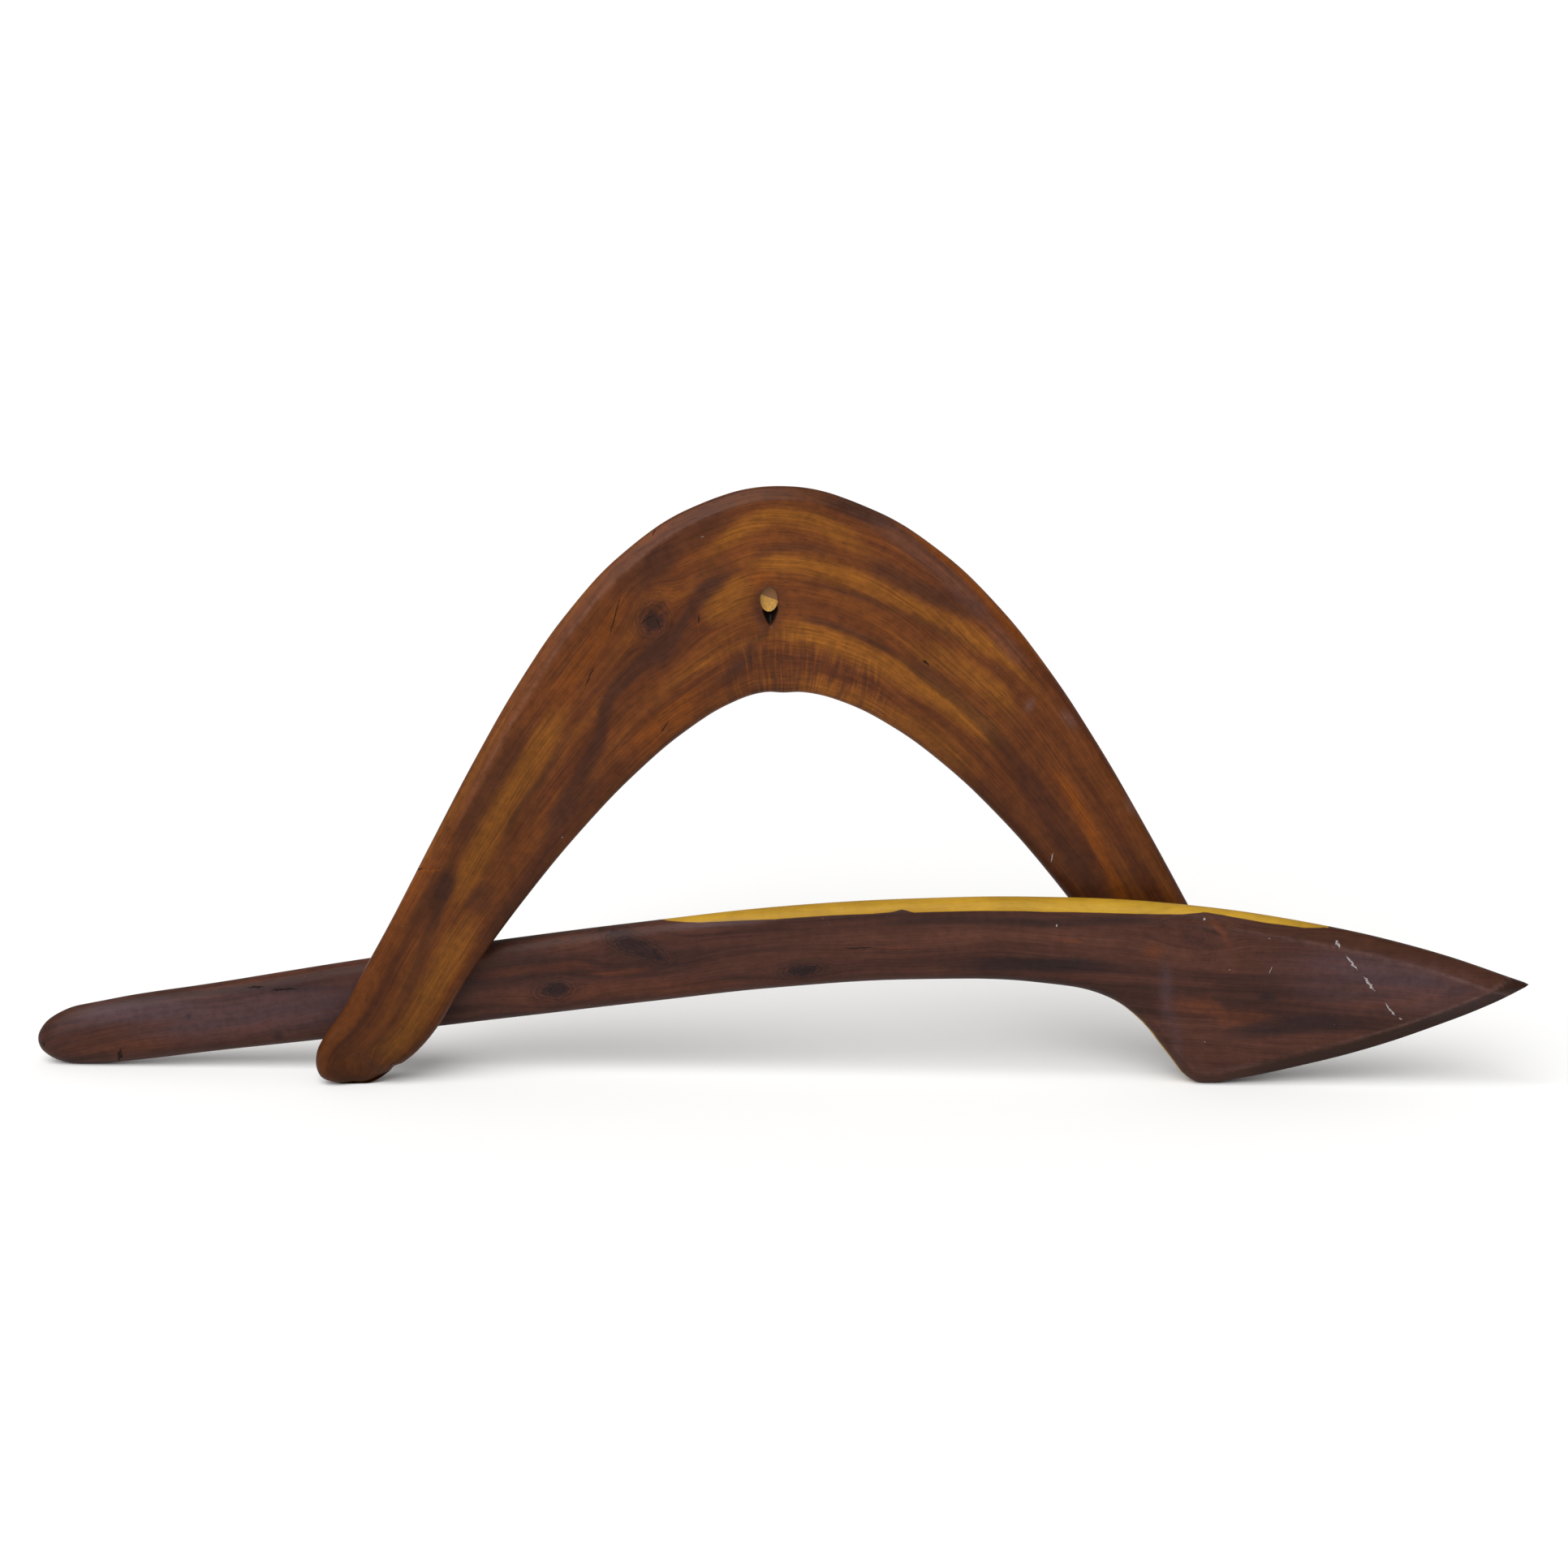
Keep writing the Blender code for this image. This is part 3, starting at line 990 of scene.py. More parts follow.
@dataclass(frozen=True)
class Blade:
    """A carved blade: two rails, the rows of skin between them, its worked edges, and its figure."""

    node: str
    name: str
    body: str
    stance: Stance
    half: float
    outer_forms: tuple[EdgeForm, ...]
    inner_forms: tuple[EdgeForm, ...]
    streaks: tuple[Streak, ...] = ()
    patches: tuple[Patch, ...] = ()
    knots: tuple[Knot, ...] = ()
    middle_rows: int = 34
    outer_rows: tuple[float, ...] = (0, 0.2, 0.6, 1.2, 2.0, 3.0, 4.2, 5.4, 6.4, 7.2, 8.4)
    inner_rows: tuple[float, ...] = (0, 0.2, 0.6, 1.2, 2.0, 3.0, 4.2, 5.4, 6.4, 7.6)
    lip: float = 0.46
    nose: float = 0.0013
    skin_gap: float = 0.35 * MM
    lump: float = 0.26 * MM
    fine_lump: float = 0.09 * MM

    def rails(self) -> tuple[np.ndarray, np.ndarray, np.ndarray, np.ndarray, np.ndarray]:
        """The outer rail, the inner rail, the way inwards from each, and the share along of each station."""
        raise NotImplementedError

    def shape_edge(self, distance: np.ndarray, share: np.ndarray, forms: tuple[EdgeForm, ...]) -> np.ndarray:
        """Works out how much of the full thickness an edge leaves.

        Args:
            distance: Distance from the edge, in metres.
            share: Share along the blade.
            forms: How the edge is worked along the blade.

        Returns:
            The share of the half thickness, from 0 at the edge to 1.
        """
        width, crisp = worked(share, forms)
        t = np.clip(distance / width, 0, 1)
        rounded = np.sqrt(np.maximum(0, 1 - (1 - t) ** 2))
        curl = self.lip * np.sqrt(np.maximum(0, 1 - (1 - np.clip(distance / self.nose, 0, 1)) ** 2))
        slope = np.clip((distance - self.nose) / (width - self.nose), 0, 1)
        chamfer = curl + (1 - self.lip) * slope
        return rounded * (1 - crisp) + chamfer * crisp

    def lay_rows(self) -> tuple[np.ndarray, np.ndarray, np.ndarray, np.ndarray]:
        """Lays rows of points between the rails.

        Returns:
            Points as (station, row, xz), the stations' shares, and the two rails.
        """
        outer, inner, outer_way, inner_way, shares = self.rails()
        width = np.hypot(*(inner - outer).T)
        outer_band = np.array(self.outer_rows) * MM
        inner_band = np.array(self.inner_rows) * MM
        reach = np.minimum(1, 0.42 * width / outer_band[-1])[:, None, None]
        first = outer[:, None] + outer_way[:, None] * outer_band[None, :, None] * reach
        last = inner[:, None] + inner_way[:, None] * inner_band[None, ::-1, None] * reach
        t = np.linspace(0, 1, self.middle_rows + 2)[None, 1:-1, None]
        middle = first[:, -1:] * (1 - t) + last[:, :1] * t
        return np.concatenate([first, middle, last], axis=1), shares, outer, inner

    def skin(self) -> bmesh.types.BMesh:
        """Makes both faces of the blade from one grid, welded along the rim, in the blade's own plane.

        Returns:
            The closed shape.
        """
        rows, shares, outer, inner = self.lay_rows()
        stations, count = rows.shape[:2]
        shape = bmesh.new()
        bmesh.ops.create_grid(shape, x_segments=stations - 1, y_segments=count - 1, size=1.0)
        names = ("share", "across", "width", "outer", "inner", "back")
        layers = {name: shape.verts.layers.float.new(name) for name in names}
        flat = rows.reshape(-1, 2)
        to_outer = distance_to(flat, outer).reshape(stations, count)
        to_inner = distance_to(flat, inner).reshape(stations, count)
        to_outer[:, 0] = to_inner[:, -1] = 0.0
        along = np.repeat(shares[:, None], count, axis=1)
        form = np.minimum(
            self.shape_edge(to_outer, along, self.outer_forms),
            self.shape_edge(to_inner, along, self.inner_forms),
        )
        form[:, 0] = form[:, -1] = form[0] = form[-1] = 0.0
        camber = 1 - 0.05 * (2 * to_outer / np.maximum(to_outer + to_inner, 1e-6) - 1) ** 2
        lumps = ripple(flat[:, 0], flat[:, 1], 0.034, 3.0).reshape(form.shape)
        fine = ripple(flat[:, 0], flat[:, 1], 0.011, 5.0).reshape(form.shape)
        heights = form * (self.half * camber - self.skin_gap + self.lump * lumps + self.fine_lump * fine)
        gap = np.hypot(*(inner - outer).T)
        for vert in shape.verts:
            i = round((vert.co.x + 1) / 2 * (stations - 1))
            j = round((vert.co.y + 1) / 2 * (count - 1))
            vert[layers["share"]] = shares[i]
            vert[layers["across"]] = to_outer[i, j] / max(to_outer[i, j] + to_inner[i, j], 1e-9)
            vert[layers["width"]] = gap[i]
            vert[layers["outer"]] = to_outer[i, j]
            vert[layers["inner"]] = to_inner[i, j]
            vert.co = (rows[i, j, 0], -heights[i, j], rows[i, j, 1])
        behind = bmesh.ops.duplicate(shape, geom=[*shape.verts, *shape.edges, *shape.faces])["geom"]
        for vert in (item for item in behind if isinstance(item, bmesh.types.BMVert)):
            vert[layers["back"]] = 1.0
            vert.co.y = -vert.co.y
        faces = [item for item in behind if isinstance(item, bmesh.types.BMFace)]
        bmesh.ops.reverse_faces(shape, faces=faces)
        self.detail(shape)
        bmesh.ops.remove_doubles(shape, verts=shape.verts, dist=WELD)
        bmesh.ops.dissolve_degenerate(shape, edges=shape.edges, dist=WELD / 2)
        return shape

    def detail(self, shape: bmesh.types.BMesh) -> None:
        """Adds what is cut into the blade. A plain blade has nothing more."""

    def build(self) -> bpy.types.Object:
        """Makes the blade's object, with its place in its mesh and its figure in its attributes.

        Returns:
            The object, riding on its body.
        """
        shape = self.skin()
        bmesh.ops.recalc_face_normals(shape, faces=shape.faces)
        mesh = bpy.data.meshes.new(self.name)
        shape.to_mesh(mesh)
        shape.free()
        self.write_figure(mesh)
        mesh.transform(self.stance.matrix())
        for vert in mesh.vertices:
            vert.co.z = max(vert.co.z, 0.0)
        mesh.shade_smooth()
        obj = link_mesh(self.name, mesh)
        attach(obj, self.body)
        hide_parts(self.node)
        return obj

    def read_field(self, mesh: bpy.types.Mesh) -> Field:
        """The blade's own coordinates at every vertex of its mesh.

        Args:
            mesh: The blade's mesh, in its own plane.

        Returns:
            The coordinates.
        """

        def column(name: str) -> np.ndarray:
            """One of the mesh's value layers, as an array."""
            values = np.empty(len(mesh.vertices), np.float32)
            mesh.attributes[name].data.foreach_get("value", values)
            return values.astype(float)

        places = np.empty(len(mesh.vertices) * 3, np.float32)
        mesh.vertices.foreach_get("co", places)
        places = places.reshape(-1, 3).astype(float)
        names = ("share", "across", "width", "outer", "inner", "back")
        return Field(x=places[:, 0], z=places[:, 2], **{name: column(name) for name in names})

    def grain_length(self) -> float:
        """Metres of grain for one share along."""
        raise NotImplementedError

    def grain_across(self, field_: Field) -> np.ndarray:
        """Metres of wood across the grain, from the outer rail."""
        return field_.across * 0.070

    def grain_place(self, field_: Field, depth: np.ndarray) -> np.ndarray:
        """Works out where each vertex is in the grain, which bends round the knots.

        Args:
            field_: The blade's own coordinates.
            depth: Each vertex's place in the thickness.

        Returns:
            One row for each vertex: along, across and through the grain, in metres.
        """
        along = field_.share * self.grain_length()
        across = self.grain_across(field_)
        for knot in self.knots:
            near = np.argmin(np.hypot(field_.x - knot.x, field_.z - knot.z) + field_.back)
            side, rise = along - along[near], across - across[near]
            size = (side / (knot.half_long * 1.5)) ** 2 + (rise / (knot.half_wide * 1.5)) ** 2
            pull = np.minimum(1 / np.maximum(size, 0.6), 1.0) * np.exp(-size / 14)
            across = across - rise * pull * 0.85
        return np.column_stack([along, across, depth]).astype(np.float32)

    def lay_tones(self, field_: Field) -> np.ndarray:
        """How strong each tone of the figure is at each vertex, with a column for each tone.

        Args:
            field_: The blade's own coordinates.

        Returns:
            One row for each vertex.
        """
        tones = np.zeros((len(field_.share), len(Tone)))
        for streak in self.streaks:
            shares, centres = zip(*streak.path)
            off = np.abs(field_.across - np.interp(field_.share, shares, centres)) * field_.width
            start, end = shares[0], shares[-1]
            reach = min(0.07, (end - start) * 0.45)
            fade = ease((field_.share - start) / reach + 0.2) * ease((end - field_.share) / reach + 0.2)
            mask = ease(1.3 - off / (streak.half_width * (0.55 + 0.45 * fade))) * fade * streak.strength
            column = streak.tone.value
            tones[:, column] = 1 - (1 - tones[:, column]) * (1 - mask)
        for patch in self.patches:
            turn = math.radians(patch.turn)
            aside, rise = field_.x - patch.x, field_.z - patch.z
            long = (aside * math.cos(turn) + rise * math.sin(turn)) / patch.half_long
            wide = (rise * math.cos(turn) - aside * math.sin(turn)) / patch.half_wide
            mask = ease(1.35 - np.hypot(long, wide)) * patch.strength * (1 - field_.back)
            column = patch.tone.value
            tones[:, column] = 1 - (1 - tones[:, column]) * (1 - mask)
        return tones

    def write_figure(self, mesh: bpy.types.Mesh) -> None:
        """Writes the grain's own coordinates and the streaks' tones on the mesh.

        Args:
            mesh: The blade's mesh, in its own plane.
        """
        field_ = self.read_field(mesh)
        places = np.empty(len(mesh.vertices) * 3, np.float32)
        mesh.vertices.foreach_get("co", places)
        places = places.reshape(-1, 3)
        self.put(mesh, "grain", "FLOAT_VECTOR", self.grain_place(field_, places[:, 1]))
        self.put(mesh, "blade", "FLOAT_VECTOR", places)
        self.put(mesh, "tones", "FLOAT_COLOR", self.lay_tones(field_))
        self.put(mesh, "rim", "FLOAT_VECTOR", self.rim_marks(field_))
        self.put(mesh, "faces", "FLOAT_VECTOR", self.face_marks(field_))

    def rim_marks(self, field_: Field) -> np.ndarray:
        """Three masks for the finish: sapwood along the rim, a painted highlight on the ridge, and wrinkles.
        """
        return np.zeros((len(field_.share), 3))

    def face_marks(self, field_: Field) -> np.ndarray:
        """Three more: the cut faces, the painted shade that darkens the wood, and the painted shade in the
        hollows.
        """
        none = np.zeros_like(field_.share)
        return np.column_stack([none, np.ones_like(none), none])

    def put(self, mesh: bpy.types.Mesh, name: str, kind: str, values: np.ndarray) -> None:
        """Stores values on the mesh's vertices.

        Args:
            mesh: The mesh.
            name: The attribute's name.
            kind: FLOAT_VECTOR or FLOAT_COLOR.
            values: One row for each vertex.
        """
        layer = mesh.attributes.new(name, kind, "POINT")
        key = "color" if kind == "FLOAT_COLOR" else "vector"
        layer.data.foreach_set(key, np.ascontiguousarray(values, np.float32).reshape(-1))


BENT_STANCE = Stance((0.004465, -0.001922, -0.000580), -2.7, 3.0)
HOOKED_STANCE = Stance((0.004606, 0.001394, -0.000429), 2.7, -3.0)

# The bent blade: shares run from -1 at the left foot over 0 at the crown to 1 at the right foot.
BENT_OUTER_EDGE: tuple[EdgeForm, ...] = (
    EdgeForm(-1.0, 0.0075, 0.0),
    EdgeForm(-0.66, 0.0070, 0.15),
    EdgeForm(-0.54, 0.0068, 0.75),
    EdgeForm(-0.40, 0.0068, 1.0),
    EdgeForm(-0.14, 0.0066, 1.0),
    EdgeForm(0.02, 0.0062, 0.95),
    EdgeForm(0.16, 0.0046, 0.8),
    EdgeForm(0.34, 0.0046, 0.35),
    EdgeForm(1.0, 0.0065, 0.0),
)
BENT_INNER_EDGE: tuple[EdgeForm, ...] = (
    EdgeForm(-1.0, 0.0075, 0.0),
    EdgeForm(-0.30, 0.0060, 0.0),
    EdgeForm(0.30, 0.0050, 0.0),
    EdgeForm(1.0, 0.0065, 0.0),
)
BENT_PATCHES: tuple[Patch, ...] = (
    Patch(Tone.DARK, -0.065, 0.239, 0.0130, 0.0110, 60.0, 0.50),
    Patch(Tone.DARK, -0.070, 0.266, 0.0240, 0.0130, 40.0, 0.50),
    Patch(Tone.DARK, -0.036, 0.263, 0.0160, 0.0080, 40.0, 0.40),
    # Darkens the knot hole's walls, its pit and the wood round them: painted shade in the hole.
    Patch(Tone.DARK, -0.008, 0.2460, 0.0085, 0.0150, 0.0, 0.75),
    Patch(Tone.WARM, -0.010, 0.2590, 0.0060, 0.0060, 0.0, 0.7),
    Patch(Tone.DARK, 0.041, 0.2925, 0.0200, 0.0050, -27.0, 0.85),
    Patch(Tone.LIGHT, -0.026, 0.2500, 0.0150, 0.0100, 30.0, 0.55),
    # Painted sheen on the right arm.
    Patch(Tone.PAINTED_SHEEN, 0.124, 0.194, 0.0040, 0.0022, 60.0, 0.55),
    Patch(Tone.PAINTED_SHEEN, 0.144, 0.186, 0.0070, 0.0032, -50.0, 0.40),
    Patch(Tone.PAINTED_SHEEN, 0.176, 0.141, 0.0060, 0.0032, -55.0, 0.35),
    Patch(Tone.DARK, -0.171, 0.104, 0.0090, 0.0050, 60.0, 0.65),
    Patch(Tone.DARK, -0.152, 0.098, 0.0110, 0.0080, 60.0, 0.40),
    Patch(Tone.DARK, -0.205, 0.020, 0.0160, 0.0050, 60.0, 0.45),
)
BENT_KNOTS: tuple[Knot, ...] = (Knot(-0.065, 0.239, 0.0070, 0.0064, 60.0, 0.95, 1.0),)
BENT_TRACES: tuple[Trace, ...] = (
    Trace(Mark.CRACK, -0.084, 0.241, 0.026, 0.0006, 75.0),
    Trace(Mark.CRACK, -0.097, 0.211, 0.013, 0.0007, 66.0),
    Trace(Mark.CRACK, -0.042, 0.240, 0.006, 0.0007, 85.0),
    Trace(Mark.CRACK, -0.0595, 0.185, 0.008, 0.0009, 53.0),
    Trace(Mark.CRACK, 0.0715, 0.216, 0.005, 0.0013, -37.0),
    Trace(Mark.CRACK, -0.064, 0.283, 0.004, 0.0007, 70.0),
    Trace(Mark.CRACK, -0.068, 0.240, 0.009, 0.0006, 35.0),
    Trace(Mark.CRACK, -0.062, 0.237, 0.008, 0.0005, 110.0),
    Trace(Mark.CRACK, -0.184, 0.1125, 0.006, 0.0009, 20.0),
    Trace(Mark.SCRATCH, -0.040, 0.281, 0.002, 0.0003, 20.0),
    Trace(Mark.SCRATCH, 0.136, 0.115, 0.006, 0.0006, 80.0),
    Trace(Mark.FLECK, -0.178, 0.113, 0.014, 0.0018, 5.0),
    Trace(Mark.FLECK, -0.2075, 0.0150, 0.018, 0.0010, -34.0),
    Trace(Mark.CRACK, -0.1990, 0.0120, 0.006, 0.0008, 30.0),
)
BENT_STREAKS: tuple[Streak, ...] = (
    Streak(Tone.WARM, ((-0.42, 0.30), (-0.33, 0.25), (-0.28, 0.24), (-0.22, 0.19)), 0.0075, 0.55),
    Streak(Tone.WARM, ((-0.36, 0.88), (-0.27, 0.88), (-0.17, 0.86)), 0.0085, 0.75),
    Streak(Tone.WARM, ((-0.99, 0.90), (-0.90, 0.93), (-0.80, 0.93), (-0.70, 0.97)), 0.0065, 0.85),
    Streak(Tone.WARM, ((-0.99, 0.20), (-0.90, 0.12), (-0.78, 0.06), (-0.64, 0.05)), 0.0060, 0.50),
    Streak(Tone.WARM, ((0.48, 0.43), (0.54, 0.41), (0.60, 0.46), (0.65, 0.51), (0.75, 0.60)), 0.0036, 1.0),
    Streak(Tone.WARM, ((0.15, 0.0), (0.26, 0.0), (0.40, 0.02)), 0.0045, 0.8),
    Streak(Tone.LIGHT, ((-0.42, 0.42), (-0.39, 0.37), (-0.46, 0.36)), 0.0060, 0.3),
    Streak(
        Tone.LIGHT, ((-0.70, 0.48), (-0.62, 0.41), (-0.54, 0.37), (-0.46, 0.37), (-0.38, 0.35)), 0.0080, 0.85
    ),
    Streak(Tone.LIGHT, ((-0.96, 0.72), (-0.87, 0.74), (-0.78, 0.72), (-0.69, 0.66)), 0.0085, 0.95),
    Streak(
        Tone.LIGHT, ((-0.12, 0.25), (-0.06, 0.18), (-0.01, 0.13), (0.05, 0.15), (0.13, 0.20)), 0.0052, 0.9
    ),
    Streak(
        Tone.LIGHT,
        ((-0.06, 0.38), (-0.01, 0.36), (0.05, 0.37), (0.17, 0.35), (0.24, 0.31), (0.36, 0.19)),
        0.0058,
        0.85,
    ),
    Streak(
        Tone.LIGHT,
        ((-0.02, 0.69), (0.07, 0.69), (0.15, 0.71), (0.22, 0.70), (0.30, 0.66), (0.43, 0.58)),
        0.0070,
        0.9,
    ),
    Streak(Tone.LIGHT, ((-0.14, 0.50), (-0.09, 0.48), (-0.05, 0.45)), 0.0100, 0.75),
    Streak(Tone.LIGHT, ((0.02, 0.97), (0.15, 0.97), (0.30, 0.92), (0.42, 0.90)), 0.0062, 0.6),
    Streak(Tone.LIGHT, ((0.23, 0.29), (0.30, 0.23), (0.35, 0.19), (0.41, 0.15)), 0.0020, 1.0),
    Streak(Tone.LIGHT, ((0.22, 0.51), (0.31, 0.43), (0.37, 0.38), (0.42, 0.40)), 0.0068, 0.7),
    Streak(
        Tone.DARK, ((-0.07, 0.37), (-0.035, 0.31), (0.01, 0.28), (0.06, 0.27), (0.11, 0.26)), 0.0034, 0.60
    ),
    Streak(
        Tone.DARK, ((0.09, 0.265), (0.17, 0.25), (0.21, 0.23), (0.27, 0.14), (0.33, 0.02)), 0.0071, 0.72
    ),
    Streak(
        Tone.DARK,
        (
            (-0.56, 0.80),
            (-0.46, 0.74),
            (-0.38, 0.66),
            (-0.35, 0.57),
            (-0.32, 0.51),
            (-0.24, 0.51),
            (-0.19, 0.52),
            (-0.14, 0.43),
            (-0.06, 0.36),
        ),
        0.0060,
        0.80,
    ),
    Streak(Tone.DARK, ((-0.26, 0.52), (-0.21, 0.54), (-0.17, 0.50)), 0.0092, 0.72),
    Streak(
        Tone.DARK,
        ((0.01, 0.45), (0.06, 0.44), (0.12, 0.43), (0.18, 0.41), (0.25, 0.35), (0.33, 0.25)),
        0.0028,
        0.52,
    ),
    Streak(Tone.DARK, ((0.01, 0.62), (0.08, 0.62), (0.16, 0.62), (0.23, 0.60)), 0.0028, 0.64),
    Streak(Tone.DARK, ((0.20, 0.61), (0.28, 0.59), (0.35, 0.58), (0.42, 0.59), (0.47, 0.61)), 0.0052, 0.60),
    Streak(Tone.DARK, ((0.43, 0.59), (0.52, 0.64), (0.58, 0.67), (0.64, 0.71), (0.76, 0.76)), 0.0083, 0.59),
    Streak(Tone.DARK, ((0.40, 0.95), (0.55, 0.90), (0.80, 0.92)), 0.0092, 0.43),
    Streak(Tone.DARK, ((-0.23, 0.18), (-0.15, 0.13), (-0.09, 0.10), (-0.04, 0.08)), 0.0092, 0.52),
    Streak(Tone.DARK, ((0.03, 0.05), (0.09, 0.05), (0.15, 0.035)), 0.0037, 0.64),
    Streak(Tone.DARK, ((0.13, 0.035), (0.21, 0.05), (0.28, 0.065)), 0.0016, 0.72),
    Streak(Tone.DARK, ((-0.145, 0.90), (-0.10, 0.83), (-0.055, 0.77), (-0.03, 0.68)), 0.0071, 0.68),
    Streak(
        Tone.DARK,
        ((-0.82, 0.98), (-0.70, 0.94), (-0.63, 0.92), (-0.55, 0.88), (-0.47, 0.86), (-0.38, 0.84)),
        0.0071,
        0.53,
    ),
    Streak(
        Tone.DARK, ((-0.86, 0.52), (-0.79, 0.48), (-0.73, 0.40), (-0.67, 0.30), (-0.62, 0.24)), 0.0041, 0.50
    ),
    Streak(Tone.DARK, ((-0.64, 0.24), (-0.57, 0.21), (-0.50, 0.21), (-0.42, 0.19)), 0.0064, 0.53),
    Streak(
        Tone.DARK, ((-0.61, 0.57), (-0.55, 0.50), (-0.49, 0.51), (-0.44, 0.49), (-0.37, 0.43)), 0.0030, 0.46
    ),
    Streak(Tone.DARK, ((-0.71, 0.64), (-0.67, 0.62), (-0.64, 0.60)), 0.0080, 0.22),
    Streak(Tone.DARK, ((-0.76, 0.20), (-0.69, 0.24), (-0.62, 0.27)), 0.0103, 0.37),
    # Painted sheen along the right arm's outer edge.
    Streak(Tone.PAINTED_SHEEN, ((0.10, 0.05), (0.21, 0.08), (0.32, 0.10)), 0.0052, 0.30),
    Streak(Tone.PAINTED_SHEEN, ((0.30, 0.13), (0.38, 0.11)), 0.0050, 0.20),
)

# The hooked blade: shares run from 0 at the butt to 1 at the tip, and across from the back to the belly.
HOOKED_BACK_EDGE: tuple[EdgeForm, ...] = (
    EdgeForm(0.0, 0.0120, 0.0),
    EdgeForm(0.15, 0.0085, 0.0),
    EdgeForm(0.74, 0.0070, 0.0),
    EdgeForm(0.80, 0.0072, 0.4),
    EdgeForm(0.86, 0.0075, 1.0),
    EdgeForm(1.0, 0.0075, 1.0),
)
HOOKED_BELLY_EDGE: tuple[EdgeForm, ...] = (
    EdgeForm(0.0, 0.0100, 0.0),
    EdgeForm(0.15, 0.0060, 0.0),
    EdgeForm(0.74, 0.0060, 0.0),
    EdgeForm(0.80, 0.0065, 0.5),
    EdgeForm(0.84, 0.0080, 1.0),
    EdgeForm(1.0, 0.0080, 1.0),
)
HOOKED_KNOTS: tuple[Knot, ...] = (
    Knot(-0.074, 0.0705, 0.0150, 0.0050, -22.0, 0.6, 1.0),
    Knot(-0.116, 0.047, 0.0088, 0.0044, 10.0, 0.95, 0.9),
    Knot(0.010, 0.060, 0.0090, 0.0034, 8.0, 0.8, 1.0),
    Knot(0.208, 0.084, 0.0120, 0.0060, -60.0, 0.0, 0.35),
    Knot(-0.305, 0.029, 0.0018, 0.0018, 0.0, 1.0, 0.3),
    Knot(-0.259, 0.020, 0.0020, 0.0030, 0.0, 0.3, 1.0),
)
HOOKED_TRACES: tuple[Trace, ...] = (
    Trace(Mark.CRACK, -0.342, 0.0070, 0.011, 0.0020, 76.0),
    Trace(Mark.CRACK, 0.038, 0.0725, 0.018, 0.0008, 2.0),
    Trace(Mark.CRACK, -0.255, 0.0450, 0.016, 0.0012, 4.0),
    Trace(Mark.CRACK, -0.270, 0.0455, 0.010, 0.0010, 3.0),
    Trace(Mark.FLECK, 0.058, 0.0730, 0.024, 0.0014, 1.0),
    Trace(Mark.FLECK, 0.145, 0.0780, 0.015, 0.0028, -2.0),
    Trace(Mark.SCRATCH, 0.2790, 0.0780, 0.0045, 0.0016, -55.0),
    Trace(Mark.SCRATCH, 0.2865, 0.0685, 0.0110, 0.0013, -56.0),
    Trace(Mark.SCRATCH, 0.2955, 0.0575, 0.0110, 0.0013, -54.0),
    Trace(Mark.SCRATCH, 0.3065, 0.0440, 0.0100, 0.0012, -52.0),
    Trace(Mark.SCRATCH, 0.3120, 0.0390, 0.0022, 0.0010, -20.0),
    Trace(Mark.SCRATCH, 0.2460, 0.0640, 0.0050, 0.0004, 70.0),
    Trace(Mark.SCRATCH, 0.2120, 0.0900, 0.0012, 0.0009, 0.0),
    Trace(Mark.SCRATCH, 0.1380, 0.0860, 0.0016, 0.0006, 90.0),
)
